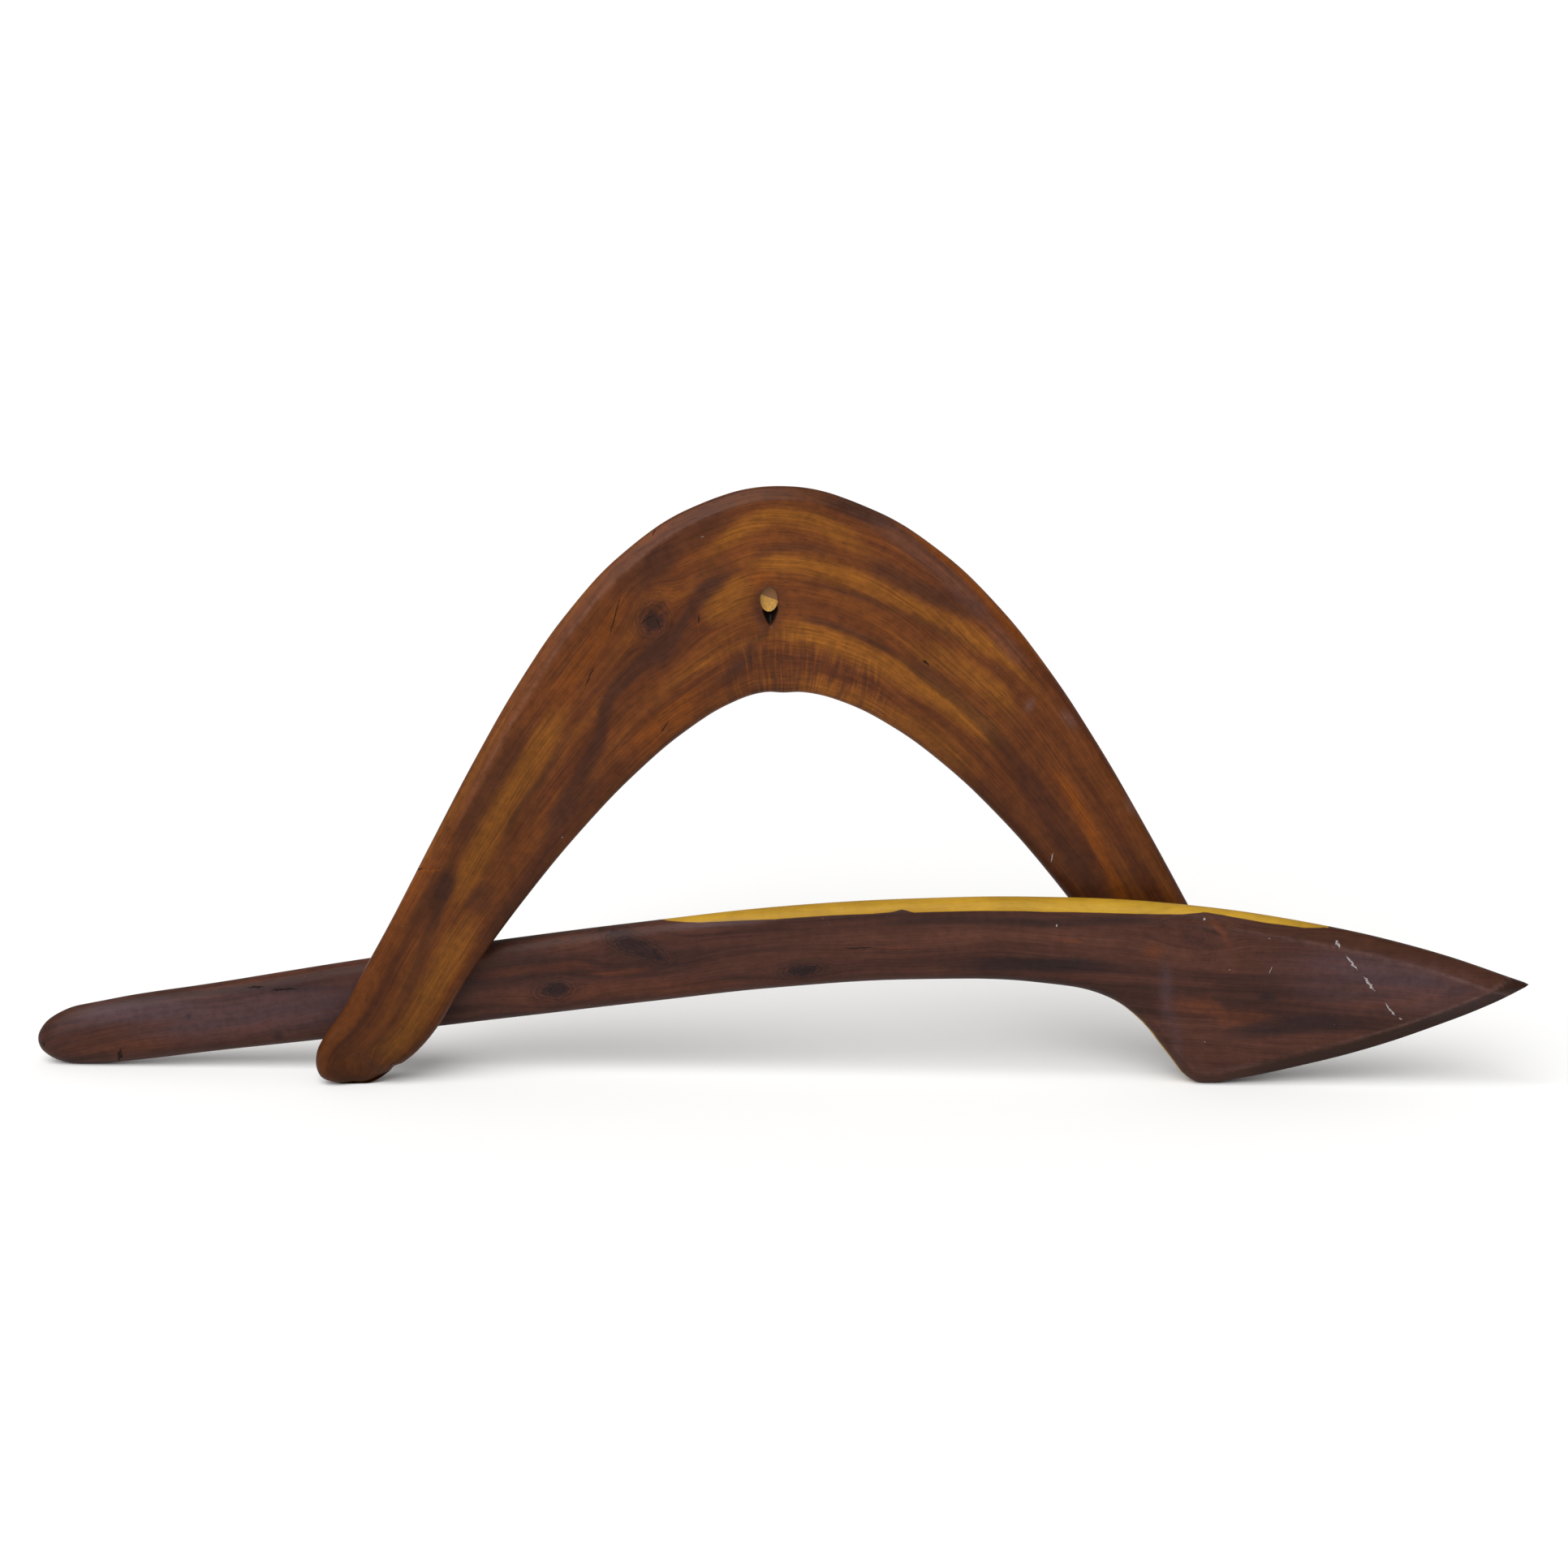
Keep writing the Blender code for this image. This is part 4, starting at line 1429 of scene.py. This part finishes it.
HOOKED_STREAKS: tuple[Streak, ...] = (
    Streak(Tone.DARK, ((0.60, 0.79), (0.64, 0.78), (0.68, 0.74), (0.71, 0.69), (0.75, 0.60)), 0.0048, 0.8),
    Streak(Tone.DARK, ((0.55, 0.24), (0.61, 0.21), (0.68, 0.25), (0.74, 0.15), (0.78, 0.11)), 0.0030, 0.6),
    Streak(Tone.DARK, ((0.785, 0.71), (0.83, 0.68), (0.86, 0.68), (0.91, 0.76)), 0.0065, 0.75),
    Streak(Tone.DARK, ((0.83, 0.38), (0.89, 0.35), (0.93, 0.34), (0.97, 0.42)), 0.0035, 0.55),
    Streak(Tone.DARK, ((0.11, 0.08), (0.15, 0.11), (0.18, 0.20), (0.22, 0.30)), 0.0030, 0.6),
    Streak(Tone.DARK, ((0.22, 0.35), (0.27, 0.40), (0.31, 0.45)), 0.0120, 0.5),
    Streak(Tone.DARK, ((0.40, 0.30), (0.46, 0.42), (0.54, 0.50)), 0.0020, 0.45),
    Streak(Tone.DARK, ((0.30, 0.55), (0.35, 0.86), (0.45, 0.88)), 0.0025, 0.3),
    Streak(Tone.DARK, ((0.77, 0.93), (0.81, 0.97), (0.90, 0.97), (0.99, 0.90)), 0.0070, 0.45),
    Streak(Tone.WARM, ((0.29, 0.36), (0.34, 0.37), (0.37, 0.38), (0.39, 0.52)), 0.0032, 0.6),
    Streak(Tone.WARM, ((0.375, 0.50), (0.39, 0.55), (0.42, 0.54)), 0.0018, 0.7),
    Streak(Tone.WARM, ((0.01, 0.66), (0.07, 0.70), (0.14, 0.70), (0.20, 0.62)), 0.0040, 0.45),
    Streak(Tone.WARM, ((0.31, 0.75), (0.40, 0.75), (0.48, 0.86)), 0.0050, 0.5),
    Streak(Tone.WARM, ((0.785, 0.04), (0.797, 0.13), (0.803, 0.26)), 0.0042, 0.75),
    Streak(Tone.WARM, ((0.75, 0.80), (0.79, 0.60), (0.82, 0.62), (0.85, 0.72)), 0.0048, 0.7),
    Streak(Tone.WARM, ((0.86, 0.55), (0.90, 0.58), (0.95, 0.55)), 0.0030, 0.4),
    Streak(Tone.WARM, ((0.10, 0.0), (0.20, 0.0), (0.30, 0.0)), 0.0030, 0.5),
    Streak(Tone.LIGHT, ((0.45, 0.40), (0.55, 0.42), (0.62, 0.46), (0.72, 0.36)), 0.0040, 0.35),
    # Painted sheen on the butt and on the head.
    Streak(Tone.PAINTED_SHEEN, ((0.01, 0.30), (0.04, 0.17), (0.07, 0.20), (0.12, 0.26)), 0.0060, 0.55),
    Streak(Tone.PAINTED_SHEEN, ((0.06, 0.42), (0.14, 0.45), (0.24, 0.50), (0.30, 0.50)), 0.0130, 0.42),
    Streak(Tone.PAINTED_SHEEN, ((0.82, 0.30), (0.88, 0.38), (0.94, 0.45), (0.99, 0.50)), 0.0160, 0.26),
    Streak(Tone.PAINTED_SHEEN, ((0.84, 0.20), (0.90, 0.25), (0.96, 0.38)), 0.0080, 0.30),
    Streak(Tone.PAINTED_SHEEN, ((0.42, 0.06), (0.46, 0.08), (0.50, 0.12)), 0.0018, 0.35),
)
HOOKED_PATCHES: tuple[Patch, ...] = (
    Patch(Tone.WARM, 0.187, 0.0730, 0.0055, 0.0042, 5.0, 0.9),
    # Painted sheen on the head.
    Patch(Tone.PAINTED_SHEEN, 0.194, 0.0500, 0.0200, 0.0042, 94.0, 0.30),
    Patch(Tone.PAINTED_SHEEN, 0.200, 0.0250, 0.0150, 0.0035, 96.0, 0.20),
    Patch(Tone.DARK, -0.080, 0.0745, 0.0120, 0.0070, -30.0, 0.5),
    Patch(Tone.DARK, -0.305, 0.0290, 0.0100, 0.0040, 0.0, 0.35),
    Patch(Tone.DARK, 0.245, 0.0500, 0.0060, 0.0040, 0.0, 0.7),
    Patch(Tone.DARK, 0.340, 0.0540, 0.0120, 0.0035, 20.0, 0.5),
    Patch(Tone.DARK, -0.130, 0.0600, 0.0300, 0.0140, 5.0, 0.45),
)
# Sapwood: share along, and its depth from the edge in millimetres, where less than 0 is none.
BACK_SAPWOOD: tuple[tuple[float, float], ...] = (
    (0.41, -1.5),
    (0.45, 2.2),
    (0.50, 4.2),
    (0.565, 4.8),
    (0.578, 4.5),
    (0.585, 3.4),
    (0.592, 5.0),
    (0.68, 5.4),
    (0.74, 4.6),
    (0.77, 3.0),
    (0.785, 1.2),
    (0.80, 1.8),
    (0.825, 2.4),
    (0.85, 1.8),
    (0.875, -1.0),
)
BELLY_SAPWOOD: tuple[tuple[float, float], ...] = (
    (0.26, -1.0),
    (0.29, 0.9),
    (0.33, 0.8),
    (0.36, -1.0),
    (0.70, -1.0),
    (0.735, 1.3),
    (0.77, 1.0),
    (0.80, -1.0),
)

# Painted shade: how much of its brightness the bent blade's colour keeps at each height above the ground,
# darker towards the feet.
BENT_HEIGHT_SHADE = ((0.0, 0.38), (0.02, 0.50), (0.05, 0.66), (0.10, 0.76), (0.16, 0.86), (0.21, 0.97), (0.26, 1.0))


@dataclass(frozen=True)
class BentBlade(Blade):
    """The returning boomerang: an arch of heartwood with a broad chamfer along its left shoulder."""

    node: str = "bent_boomerang"
    name: str = "bent_blade"
    body: str = "bent"
    stance: Stance = BENT_STANCE
    half: float = 0.0065
    outer_forms: tuple[EdgeForm, ...] = BENT_OUTER_EDGE
    inner_forms: tuple[EdgeForm, ...] = BENT_INNER_EDGE
    streaks: tuple[Streak, ...] = BENT_STREAKS
    patches: tuple[Patch, ...] = BENT_PATCHES
    knots: tuple[Knot, ...] = BENT_KNOTS
    traces: tuple[Trace, ...] = BENT_TRACES
    half_stations: int = 210
    bore_x: float = -0.0070
    bore_z: float = 0.2490
    bore_half_width: float = 0.0047
    bore_half_height: float = 0.0065
    pit_z: float = 0.2432
    pit_half_width: float = 0.0040
    pit_half_height: float = 0.0074
    pit_depth: float = 0.0060
    pit_aside: float = 0.0006
    pit_taper: float = 0.55
    facet_x: float = -0.2070
    facet_z: float = 0.0150
    facet_facing: tuple[float, float] = (0.57, 0.82)
    facet_slope: float = 0.42
    facet_depth: float = 0.0036
    chip_x: float = -0.1985
    chip_z: float = 0.0102
    chip_size: float = 0.0036
    crown_grain: float = 0.36

    def crown(self, path: np.ndarray) -> int:
        """The index of a rail's point on the middle line, up at the crown."""
        return int(np.argmin(np.abs(path[:, 0]) + (path[:, 1] < 0.1)))

    def arch_sides(self) -> tuple[np.ndarray, np.ndarray]:
        """The outside and the inside of the arch, each as a path from foot to foot.

        Returns:
            The two paths, as rows of (x, z).
        """
        loop = node_outline(self.node, self.stance)
        feet = []
        for side in (loop[:, 0] < 0, loop[:, 0] > 0):
            low = side & (loop[:, 1] < loop[side, 1].min() + 1.5 * MM)
            middle = loop[low, 0].mean()
            feet.append(int(np.argmin(np.where(low, np.abs(loop[:, 0] - middle), 9.0))))
        loop = np.roll(loop, -feet[0], 0)
        other = (feet[1] - feet[0]) % len(loop)
        closed = np.vstack([loop, loop[:1]])
        ways = [closed[: other + 1], closed[other:][::-1]]
        outside, inside = sorted(ways, key=lambda way: -way[:, 1].max())
        return outside, inside

    def rails(self) -> tuple[np.ndarray, np.ndarray, np.ndarray, np.ndarray, np.ndarray]:
        """The outside and the inside of the arch, from the left foot over the elbow to the right foot.

        Returns:
            The outer rail, the inner rail, the way inwards from each, and the shares along.
        """
        outside, inside = self.arch_sides()
        apex = self.crown(outside)
        q = np.linspace(0, 1, self.half_stations)
        rails, ways = [], []
        for path, sign in ((outside, 1.0), (inside, -1.0)):
            top = self.crown(path)
            sides = []
            for part, partner in ((path[: top + 1], outside[: apex + 1]), (path[top:][::-1], outside[apex:])):
                shares = q
                if path is inside:
                    keep = 2 - length_of(partner) / length_of(part)
                    shares = keep * q + (1 - keep) * (1 - (1 - q) ** 2)
                sides.append(resample(part, shares))
            rail = np.vstack([sides[0], sides[1][::-1][1:]])
            run = np.gradient(rail, axis=0)
            run /= np.maximum(np.hypot(*run.T), 1e-9)[:, None]
            rails.append(rail)
            ways.append(np.column_stack([run[:, 1], -run[:, 0]]) * sign)
        return rails[0], rails[1], ways[0], ways[1], np.r_[q - 1, (1 - q)[::-1][1:]]

    def grain_length(self) -> float:
        """Metres of grain from the crown to a foot."""
        return self.crown_grain

    def rim_marks(self, field_: Field) -> np.ndarray:
        """A painted highlight along the chamfer's ridge, and the wrinkles where the grain is pressed into the
        arch.

        Args:
            field_: The blade's own coordinates.

        Returns:
            One row of three masks for each vertex.
        """
        share, front = field_.share, 1 - field_.back
        width, crisp = worked(share, self.outer_forms)
        # Painted highlight: a narrow pale line on the chamfer's ridge, and a faint one across the chamfer.
        ridge_highlight = np.exp(-(((field_.outer - width) / 0.0011) ** 2))
        ridge_highlight += 0.16 * ease((width - field_.outer) / 0.0045) * ease(field_.outer / 0.0022)
        ridge_highlight *= crisp * ease((share + 0.64) / 0.12) * ease((0.00 - share) / 0.22) * 0.60
        wrinkle = ease((field_.across - 0.66) / 0.16)
        wrinkle *= ease((share + 0.17) / 0.10) * ease((0.30 - share) / 0.16)
        near = np.hypot((field_.x + 0.002) / 0.030, (field_.z - 0.222) / 0.016)
        wrinkle = np.maximum(wrinkle * front, ease(1.35 - near) * 0.6 * front)
        return np.column_stack([np.full_like(share, -1.0), ridge_highlight, wrinkle])

    def face_marks(self, field_: Field) -> np.ndarray:
        """A dull chamfer over the crown, painted shade that darkens the wood towards the feet and inside the
        arch, and painted shade in the knot hole's pit and round its bore.

        Args:
            field_: The blade's own coordinates.

        Returns:
            One row of three masks for each vertex.
        """
        share = field_.share
        width, _ = worked(share, self.outer_forms)
        cut = ease((width - field_.outer) / 0.0016 + 0.5)
        cut *= ease((share + 0.17) / 0.12) * ease((0.20 - share) / 0.10)
        # Painted shade: the colour darkens lower down and near the inner edge of the arms.
        shade_factor = np.interp(field_.z, *zip(*BENT_HEIGHT_SHADE))
        shade_factor *= 1 - 0.22 * ease(1 - field_.inner / 0.010) * ease((np.abs(share) - 0.2) / 0.2)
        drop = (self.pit_z - field_.z) / self.pit_half_height
        narrow = 1 - self.pit_taper * np.clip(drop, 0, 1)
        aside, rise = field_.x - self.bore_x, field_.z - self.bore_z
        pit = np.hypot((aside - self.pit_aside) / (self.pit_half_width * narrow), drop)
        bore = np.hypot(aside / self.bore_half_width, rise / self.bore_half_height)
        # Painted shade: the lower rim round the bore and the sunk pit are darkened.
        bore_rim_shade = 0.55 * ease(1.28 - bore) * ease((0.252 - field_.z) / 0.006)
        hollow_shade = np.maximum(ease((1.04 - pit) / 0.16), bore_rim_shade)
        return np.column_stack([cut * 0.45, shade_factor, hollow_shade * (1 - field_.back)])

    def out_of_bore(self, point: Vector) -> float:
        """How far out of the bore a point is: 1 on its edge."""
        aside, rise = point.x - self.bore_x, point.z - self.bore_z
        return math.hypot(aside / self.bore_half_width, rise / self.bore_half_height)

    def trim_foot(self, shape: bmesh.types.BMesh) -> None:
        """Cuts the facet across the left foot and the chip out of its edge.

        Args:
            shape: The blade's shape, in its own plane.
        """
        back = shape.verts.layers.float["back"]
        facet = Vector((self.facet_facing[0], 0.0, self.facet_facing[1]))
        for vert in shape.verts:
            away = Vector((vert.co.x - self.facet_x, 0.0, vert.co.z - self.facet_z))
            below = -away.dot(facet)
            if vert.co.x < -0.18 and vert.co.z < 0.04 and vert[back] < 0.5 and below > 0:
                sink = min(self.facet_slope * below, self.facet_depth)
                vert.co.y += sink * float(ease(np.array((vert.co.x + 0.232) / 0.014)))
            near = math.hypot(vert.co.x - self.chip_x, vert.co.z - self.chip_z) / self.chip_size
            if near < 1:
                vert.co.x -= 0.0011 * (1 - near)
                vert.co.z += 0.0012 * (1 - near)

    def sink_pit(self, shape: bmesh.types.BMesh) -> None:
        """Sinks the pit below the bore, which runs out in a point, and dishes the wood round both.

        Args:
            shape: The blade's shape, in its own plane.
        """
        back = shape.verts.layers.float["back"]
        for vert in shape.verts:
            if vert[back] > 0.5 or self.out_of_bore(vert.co) > 2.6:
                continue
            drop = (self.pit_z - vert.co.z) / self.pit_half_height
            narrow = 1 - self.pit_taper * max(0.0, min(1.0, drop))
            aside = vert.co.x - self.bore_x - self.pit_aside
            pit = math.hypot(aside / (self.pit_half_width * narrow), drop)
            sink = self.pit_depth * max(0.0, 1 - pit) ** 0.45
            dish = 0.0007 * float(ease(np.array(1.9 - min(self.out_of_bore(vert.co), pit))))
            vert.co.y += sink + dish

    def detail(self, shape: bmesh.types.BMesh) -> None:
        """Trims the left foot, and cuts the knot hole: its pit, and a bore right through for the plug.

        Args:
            shape: The blade's shape, in its own plane.
        """
        for reach in (2.6, 2.1, 1.7):
            near = [e for e in shape.edges if all(self.out_of_bore(v.co) < reach for v in e.verts)]
            bmesh.ops.subdivide_edges(shape, edges=near, cuts=1, use_grid_fill=True)
        self.trim_foot(shape)
        self.sink_pit(shape)
        inside = [f for f in shape.faces if all(self.out_of_bore(v.co) < 1.0 for v in f.verts)]
        bmesh.ops.delete(shape, geom=inside, context="FACES")
        open_edges = [e for e in shape.edges if len(e.link_faces) == 1]
        rim = [e for e in open_edges if all(self.out_of_bore(v.co) < 1.4 for v in e.verts)]
        for vert in {v for e in rim for v in e.verts}:
            scale = 1 / max(self.out_of_bore(vert.co), 0.2)
            vert.co.x = self.bore_x + (vert.co.x - self.bore_x) * scale
            vert.co.z = self.bore_z + (vert.co.z - self.bore_z) * scale
        for edge in rim:
            edge.smooth = False
        bmesh.ops.bridge_loops(shape, edges=rim)

    def finish(self) -> Heartwood:
        """Reddish brown heartwood with gold and near-black figure."""
        return Heartwood(
            name="red_heartwood_oiled",
            deep=(88, 45, 22),
            middle=(110, 59, 24),
            light=(140, 84, 26),
            dark=(62, 35, 26),
            warm=(132, 69, 17),
            painted_sheen=(108, 80, 74),
            ridge_highlight=(122, 80, 60),
            cut=(78, 48, 34),
            sap=(196, 155, 72),
            sap_line=(180, 135, 60),
            core=(45, 30, 28),
            knots=self.knots,
            traces=self.traces,
        )


@dataclass(frozen=True)
class HookedBlade(Blade):
    """The long hooked boomerang: a rounded shaft, and a flat head whose chamfers meet before the tip."""

    node: str = "hooked_boomerang"
    name: str = "hooked_blade"
    body: str = "hooked"
    stance: Stance = HOOKED_STANCE
    half: float = 0.0075
    outer_forms: tuple[EdgeForm, ...] = HOOKED_BACK_EDGE
    inner_forms: tuple[EdgeForm, ...] = HOOKED_BELLY_EDGE
    streaks: tuple[Streak, ...] = HOOKED_STREAKS
    patches: tuple[Patch, ...] = HOOKED_PATCHES
    knots: tuple[Knot, ...] = HOOKED_KNOTS
    middle_rows: int = 26
    outer_rows: tuple[float, ...] = (0, 0.2, 0.6, 1.2, 2.0, 3.0, 4.2, 5.4, 6.6, 7.6, 8.6)
    inner_rows: tuple[float, ...] = (0, 0.2, 0.6, 1.2, 2.0, 3.0, 4.2, 5.4, 6.4, 7.4)
    traces: tuple[Trace, ...] = HOOKED_TRACES
    back_sap: tuple[tuple[float, float], ...] = BACK_SAPWOOD
    belly_sap: tuple[tuple[float, float], ...] = BELLY_SAPWOOD
    spacing: float = 0.0021
    butt_round: float = 0.036
    butt_stations: int = 26
    grain: float = 0.762
    head_share: float = 0.66
    head_drop: float = 0.016

    def rails(self) -> tuple[np.ndarray, np.ndarray, np.ndarray, np.ndarray, np.ndarray]:
        """The back and the belly, from the butt to the tip, in matching upright stations.

        Returns:
            The outer rail, the inner rail, the way inwards from each, and the shares along.
        """
        loop = node_outline(self.node, self.stance)
        butt, tip = int(np.argmin(loop[:, 0])), int(np.argmax(loop[:, 0]))
        loop = np.roll(loop, -butt, 0)
        tip = (tip - butt) % len(loop)
        closed = np.vstack([loop, loop[:1]])
        ways = [closed[: tip + 1], closed[tip:][::-1]]
        back, belly = sorted(ways, key=lambda way: -way[:, 1].mean())
        start, end = back[0, 0], back[-1, 0]
        turn = np.linspace(0, math.pi / 2, self.butt_stations)[:-1]
        columns = start + self.butt_round * (1 - np.cos(turn))
        count = int((end - start - self.butt_round) / self.spacing)
        columns = np.r_[columns, np.linspace(start + self.butt_round, end, count)]
        rails, ways = [], []
        for path, sign in ((back, -1.0), (belly, 1.0)):
            order = np.argsort(path[:, 0], kind="stable")
            height = np.interp(columns, path[order, 0], path[order, 1])
            slope = np.gradient(height, columns)
            slope = np.convolve(np.pad(slope, 3, mode="edge"), np.ones(7) / 7, "valid")
            steep = np.minimum(np.hypot(1, slope), 1.9)
            rails.append(np.column_stack([columns, height]))
            ways.append(np.column_stack([np.zeros_like(steep), sign * steep]))
        return rails[0], rails[1], ways[0], ways[1], (columns - start) / (end - start)


    def grain_length(self) -> float:
        """Metres of grain from the butt to the tip."""
        return self.grain

    def grain_across(self, field_: Field) -> np.ndarray:
        """Metres across the grain, which follows the shaft's curve but runs straight on through the head.

        Args:
            field_: The blade's own coordinates.

        Returns:
            One distance in metres for each vertex.
        """
        stations = np.linspace(0, 1, 120)
        crest = np.array([field_.z[np.abs(field_.share - share) < 0.006].max() for share in stations])
        turn = self.head_share
        level = np.interp(turn, stations, crest)
        on = level - self.head_drop * np.clip((stations - turn) / (1 - turn), 0, 1) ** 1.3
        return np.interp(field_.share, stations, np.where(stations > turn, on, crest)) - field_.z

    def face_marks(self, field_: Field) -> np.ndarray:
        """The browner cut faces of the head's chamfers, and painted shade that darkens the wood along the
        belly, on the head's lower chamfer and along the back.

        Args:
            field_: The blade's own coordinates.

        Returns:
            One row of three masks for each vertex.
        """
        share = field_.share
        cut = np.zeros_like(share)
        for forms, distance in ((self.outer_forms, field_.outer), (self.inner_forms, field_.inner)):
            width, crisp = worked(share, forms)
            cut = np.maximum(cut, ease((width - distance) / 0.0008 + 0.5) * crisp)
        # Painted shade: darker near the belly, much darker on the head's lower chamfer, a little darker along
        # the back.
        shade_factor = 1 - 0.20 * ease(1 - field_.inner / 0.020)
        shade_factor *= 1 - 0.42 * ease((0.0080 - field_.inner) / 0.0010 + 0.5) * ease((share - 0.80) / 0.04)
        shade_factor *= 1 - 0.10 * ease(1 - field_.outer / 0.008)
        return np.column_stack([cut * 0.95, shade_factor, np.zeros_like(share)])

    def rim_marks(self, field_: Field) -> np.ndarray:
        """Sapwood along the back and in slivers along the belly, and a painted highlight on the head's
        ridges.

        Args:
            field_: The blade's own coordinates.

        Returns:
            One row of three masks for each vertex.
        """
        share = field_.share
        marks = []
        for table, distance in ((self.back_sap, field_.outer), (self.belly_sap, field_.inner)):
            depth = np.interp(share, *zip(*table)) * MM
            extra = np.where(depth > 0, 0.0015, 0.0) * field_.back
            marks.append((depth + extra - distance) / 0.01)
        lit_ridge = np.zeros_like(share)
        for forms, distance in ((self.outer_forms, field_.outer), (self.inner_forms, field_.inner)):
            width, crisp = worked(share, forms)
            # Painted highlight on the ridges of the head's chamfers.
            ridge_highlight = np.exp(-(((distance - width - 0.0004) / 0.0009) ** 2))
            lit_ridge = np.maximum(lit_ridge, ridge_highlight * crisp * 0.40)
        return np.column_stack([np.maximum(marks[0], marks[1]), lit_ridge, np.zeros_like(share)])

    def finish(self) -> Heartwood:
        """Dark purplish heartwood with a strip of yellow sapwood."""
        return Heartwood(
            name="dark_heartwood_oiled",
            deep=(60, 35, 29),
            middle=(79, 47, 37),
            light=(94, 57, 44),
            dark=(42, 29, 30),
            warm=(102, 55, 34),
            painted_sheen=(90, 72, 80),
            ridge_highlight=(112, 86, 80),
            cut=(70, 36, 17),
            sap=(196, 153, 46),
            sap_line=(184, 139, 38),
            core=(32, 24, 26),
            roughness=0.46,
            gloss=0.10,
            varnish=0.02,
            knots=self.knots,
            traces=self.traces,
            contrast=0.8,
        )


@dataclass(frozen=True)
class KnotPlug:
    """The pale wood that fills the knot hole in the elbow."""

    name: str = "plug_core"
    stance: Stance = BENT_STANCE
    width: float = 0.0093
    height: float = 0.0129
    front: float = -0.0034
    back: float = 0.0064
    middle: tuple[float, float] = (-0.0070, 0.2490)
    insets: tuple[float, ...] = (0.0004, 0.0009, 0.0011, 0.0009)
    sinks: tuple[float, ...] = (0.0, 0.0002, 0.0002, 0.0001)

    def build(self) -> bpy.types.Object:
        """A short oval rod with a softened, slightly hollow front.

        Returns:
            The object, riding on its body.
        """
        shape = bmesh.new()
        bmesh.ops.create_cone(
            shape,
            cap_ends=True,
            segments=40,
            radius1=0.5,
            radius2=0.5,
            depth=self.back - self.front,
            matrix=Matrix.Rotation(math.pi / 2, 4, "X"),
        )
        bmesh.ops.scale(shape, vec=(self.width, 1.0, self.height), verts=shape.verts)
        bmesh.ops.translate(shape, vec=(0.0, (self.front + self.back) / 2, 0.0), verts=shape.verts)
        caps = [face for face in shape.faces if len(face.verts) > 4]
        for inset, push in zip(self.insets, self.sinks):
            bmesh.ops.inset_region(shape, faces=caps, thickness=inset, depth=-push)
        bmesh.ops.poke(shape, faces=caps)
        bmesh.ops.recalc_face_normals(shape, faces=shape.faces)
        mesh = bpy.data.meshes.new(self.name)
        shape.to_mesh(mesh)
        shape.free()
        places = np.empty(len(mesh.vertices) * 3, np.float32)
        mesh.vertices.foreach_get("co", places)
        layer = mesh.attributes.new("blade", "FLOAT_VECTOR", "POINT")
        layer.data.foreach_set("vector", places)
        where = Matrix.Translation((self.middle[0], 0.0, self.middle[1]))
        mesh.transform(self.stance.matrix() @ where)
        mesh.shade_smooth()
        obj = link_mesh(self.name, mesh)
        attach(obj, "bent")
        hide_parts("knot_plug")
        return obj

    def finish(self) -> PlugWood:
        """Pale yellow end grain."""
        return PlugWood()


@dataclass(frozen=True)
class Studio:
    """A plain pale floor, soft light from the upper left front, and the camera."""

    target: tuple[float, float, float] = (0.00457, 0.0014, 0.154)
    distance: float = 2.2
    elevation: float = 15.0
    focal: float = 100.35
    floor_radius: float = 45.0
    key_strength: float = 3.3
    key_spread: float = 60.0
    key_way: tuple[float, float, float] = (0.45, 0.75, -1.0)
    room_strength: float = 0.45

    def camera(self) -> None:
        """Looks along +Y from a little above."""
        lens = bpy.data.cameras.new("studio_camera")
        lens.lens = self.focal
        lens.sensor_width = 36.0
        lens.clip_end = 60.0
        rise = math.radians(self.elevation)
        obj = bpy.data.objects.new("studio_camera", lens)
        away = Vector((0.0, -math.cos(rise), math.sin(rise))) * self.distance
        obj.location = Vector(self.target) + away
        obj.rotation_euler = (math.pi / 2 - rise, 0.0, 0.0)
        bpy.context.scene.collection.objects.link(obj)
        bpy.context.scene.camera = obj

    def lights(self) -> None:
        """One broad, sun-like key, and a dim room."""
        key = bpy.data.lights.new("key", "SUN")
        key.energy = self.key_strength
        key.angle = math.radians(self.key_spread)
        obj = bpy.data.objects.new("key", key)
        obj.rotation_euler = Vector(self.key_way).to_track_quat("-Z", "Y").to_euler()
        bpy.context.scene.collection.objects.link(obj)
        world = bpy.data.worlds.new("room")
        world.use_nodes = True
        room = world.node_tree.nodes["Background"]
        room.inputs["Color"].default_value = (1.0, 0.99, 0.97, 1.0)
        room.inputs["Strength"].default_value = self.room_strength
        bpy.context.scene.world = world

    def floor(self) -> None:
        """A wide pale floor, so that it fills the view."""
        shape = bmesh.new()
        bmesh.ops.create_circle(shape, cap_ends=True, segments=64, radius=self.floor_radius)
        mesh = bpy.data.meshes.new("studio_floor")
        shape.to_mesh(mesh)
        shape.free()
        paint = bpy.data.materials.new("studio_floor")
        paint.use_nodes = True
        shader = paint.node_tree.nodes["Principled BSDF"]
        shader.inputs["Base Color"].default_value = (0.86, 0.86, 0.86, 1.0)
        shader.inputs["Roughness"].default_value = 0.9
        mesh.materials.append(paint)
        link_mesh("studio_floor", mesh)

    def build(self) -> None:
        """Sets the whole studio."""
        self.camera()
        self.lights()
        self.floor()
        bpy.context.scene.view_settings.view_transform = "Standard"


def main() -> None:
    """Builds the studio and the pair."""
    Studio().build()
    effects = WoodEffects()
    makers = ((BentBlade(), "red_heartwood"), (HookedBlade(), "dark_heartwood"), (KnotPlug(), "pale_plug"))
    for maker, slot in makers:
        piece = maker.build()
        piece.data.materials.append(maker.finish().make(effects))
        LOG.info("%s: %d faces", piece.name, len(piece.data.polygons))


if __name__ == "__main__":
    logging.basicConfig(level=logging.INFO, format="%(name)s: %(message)s")
    main()
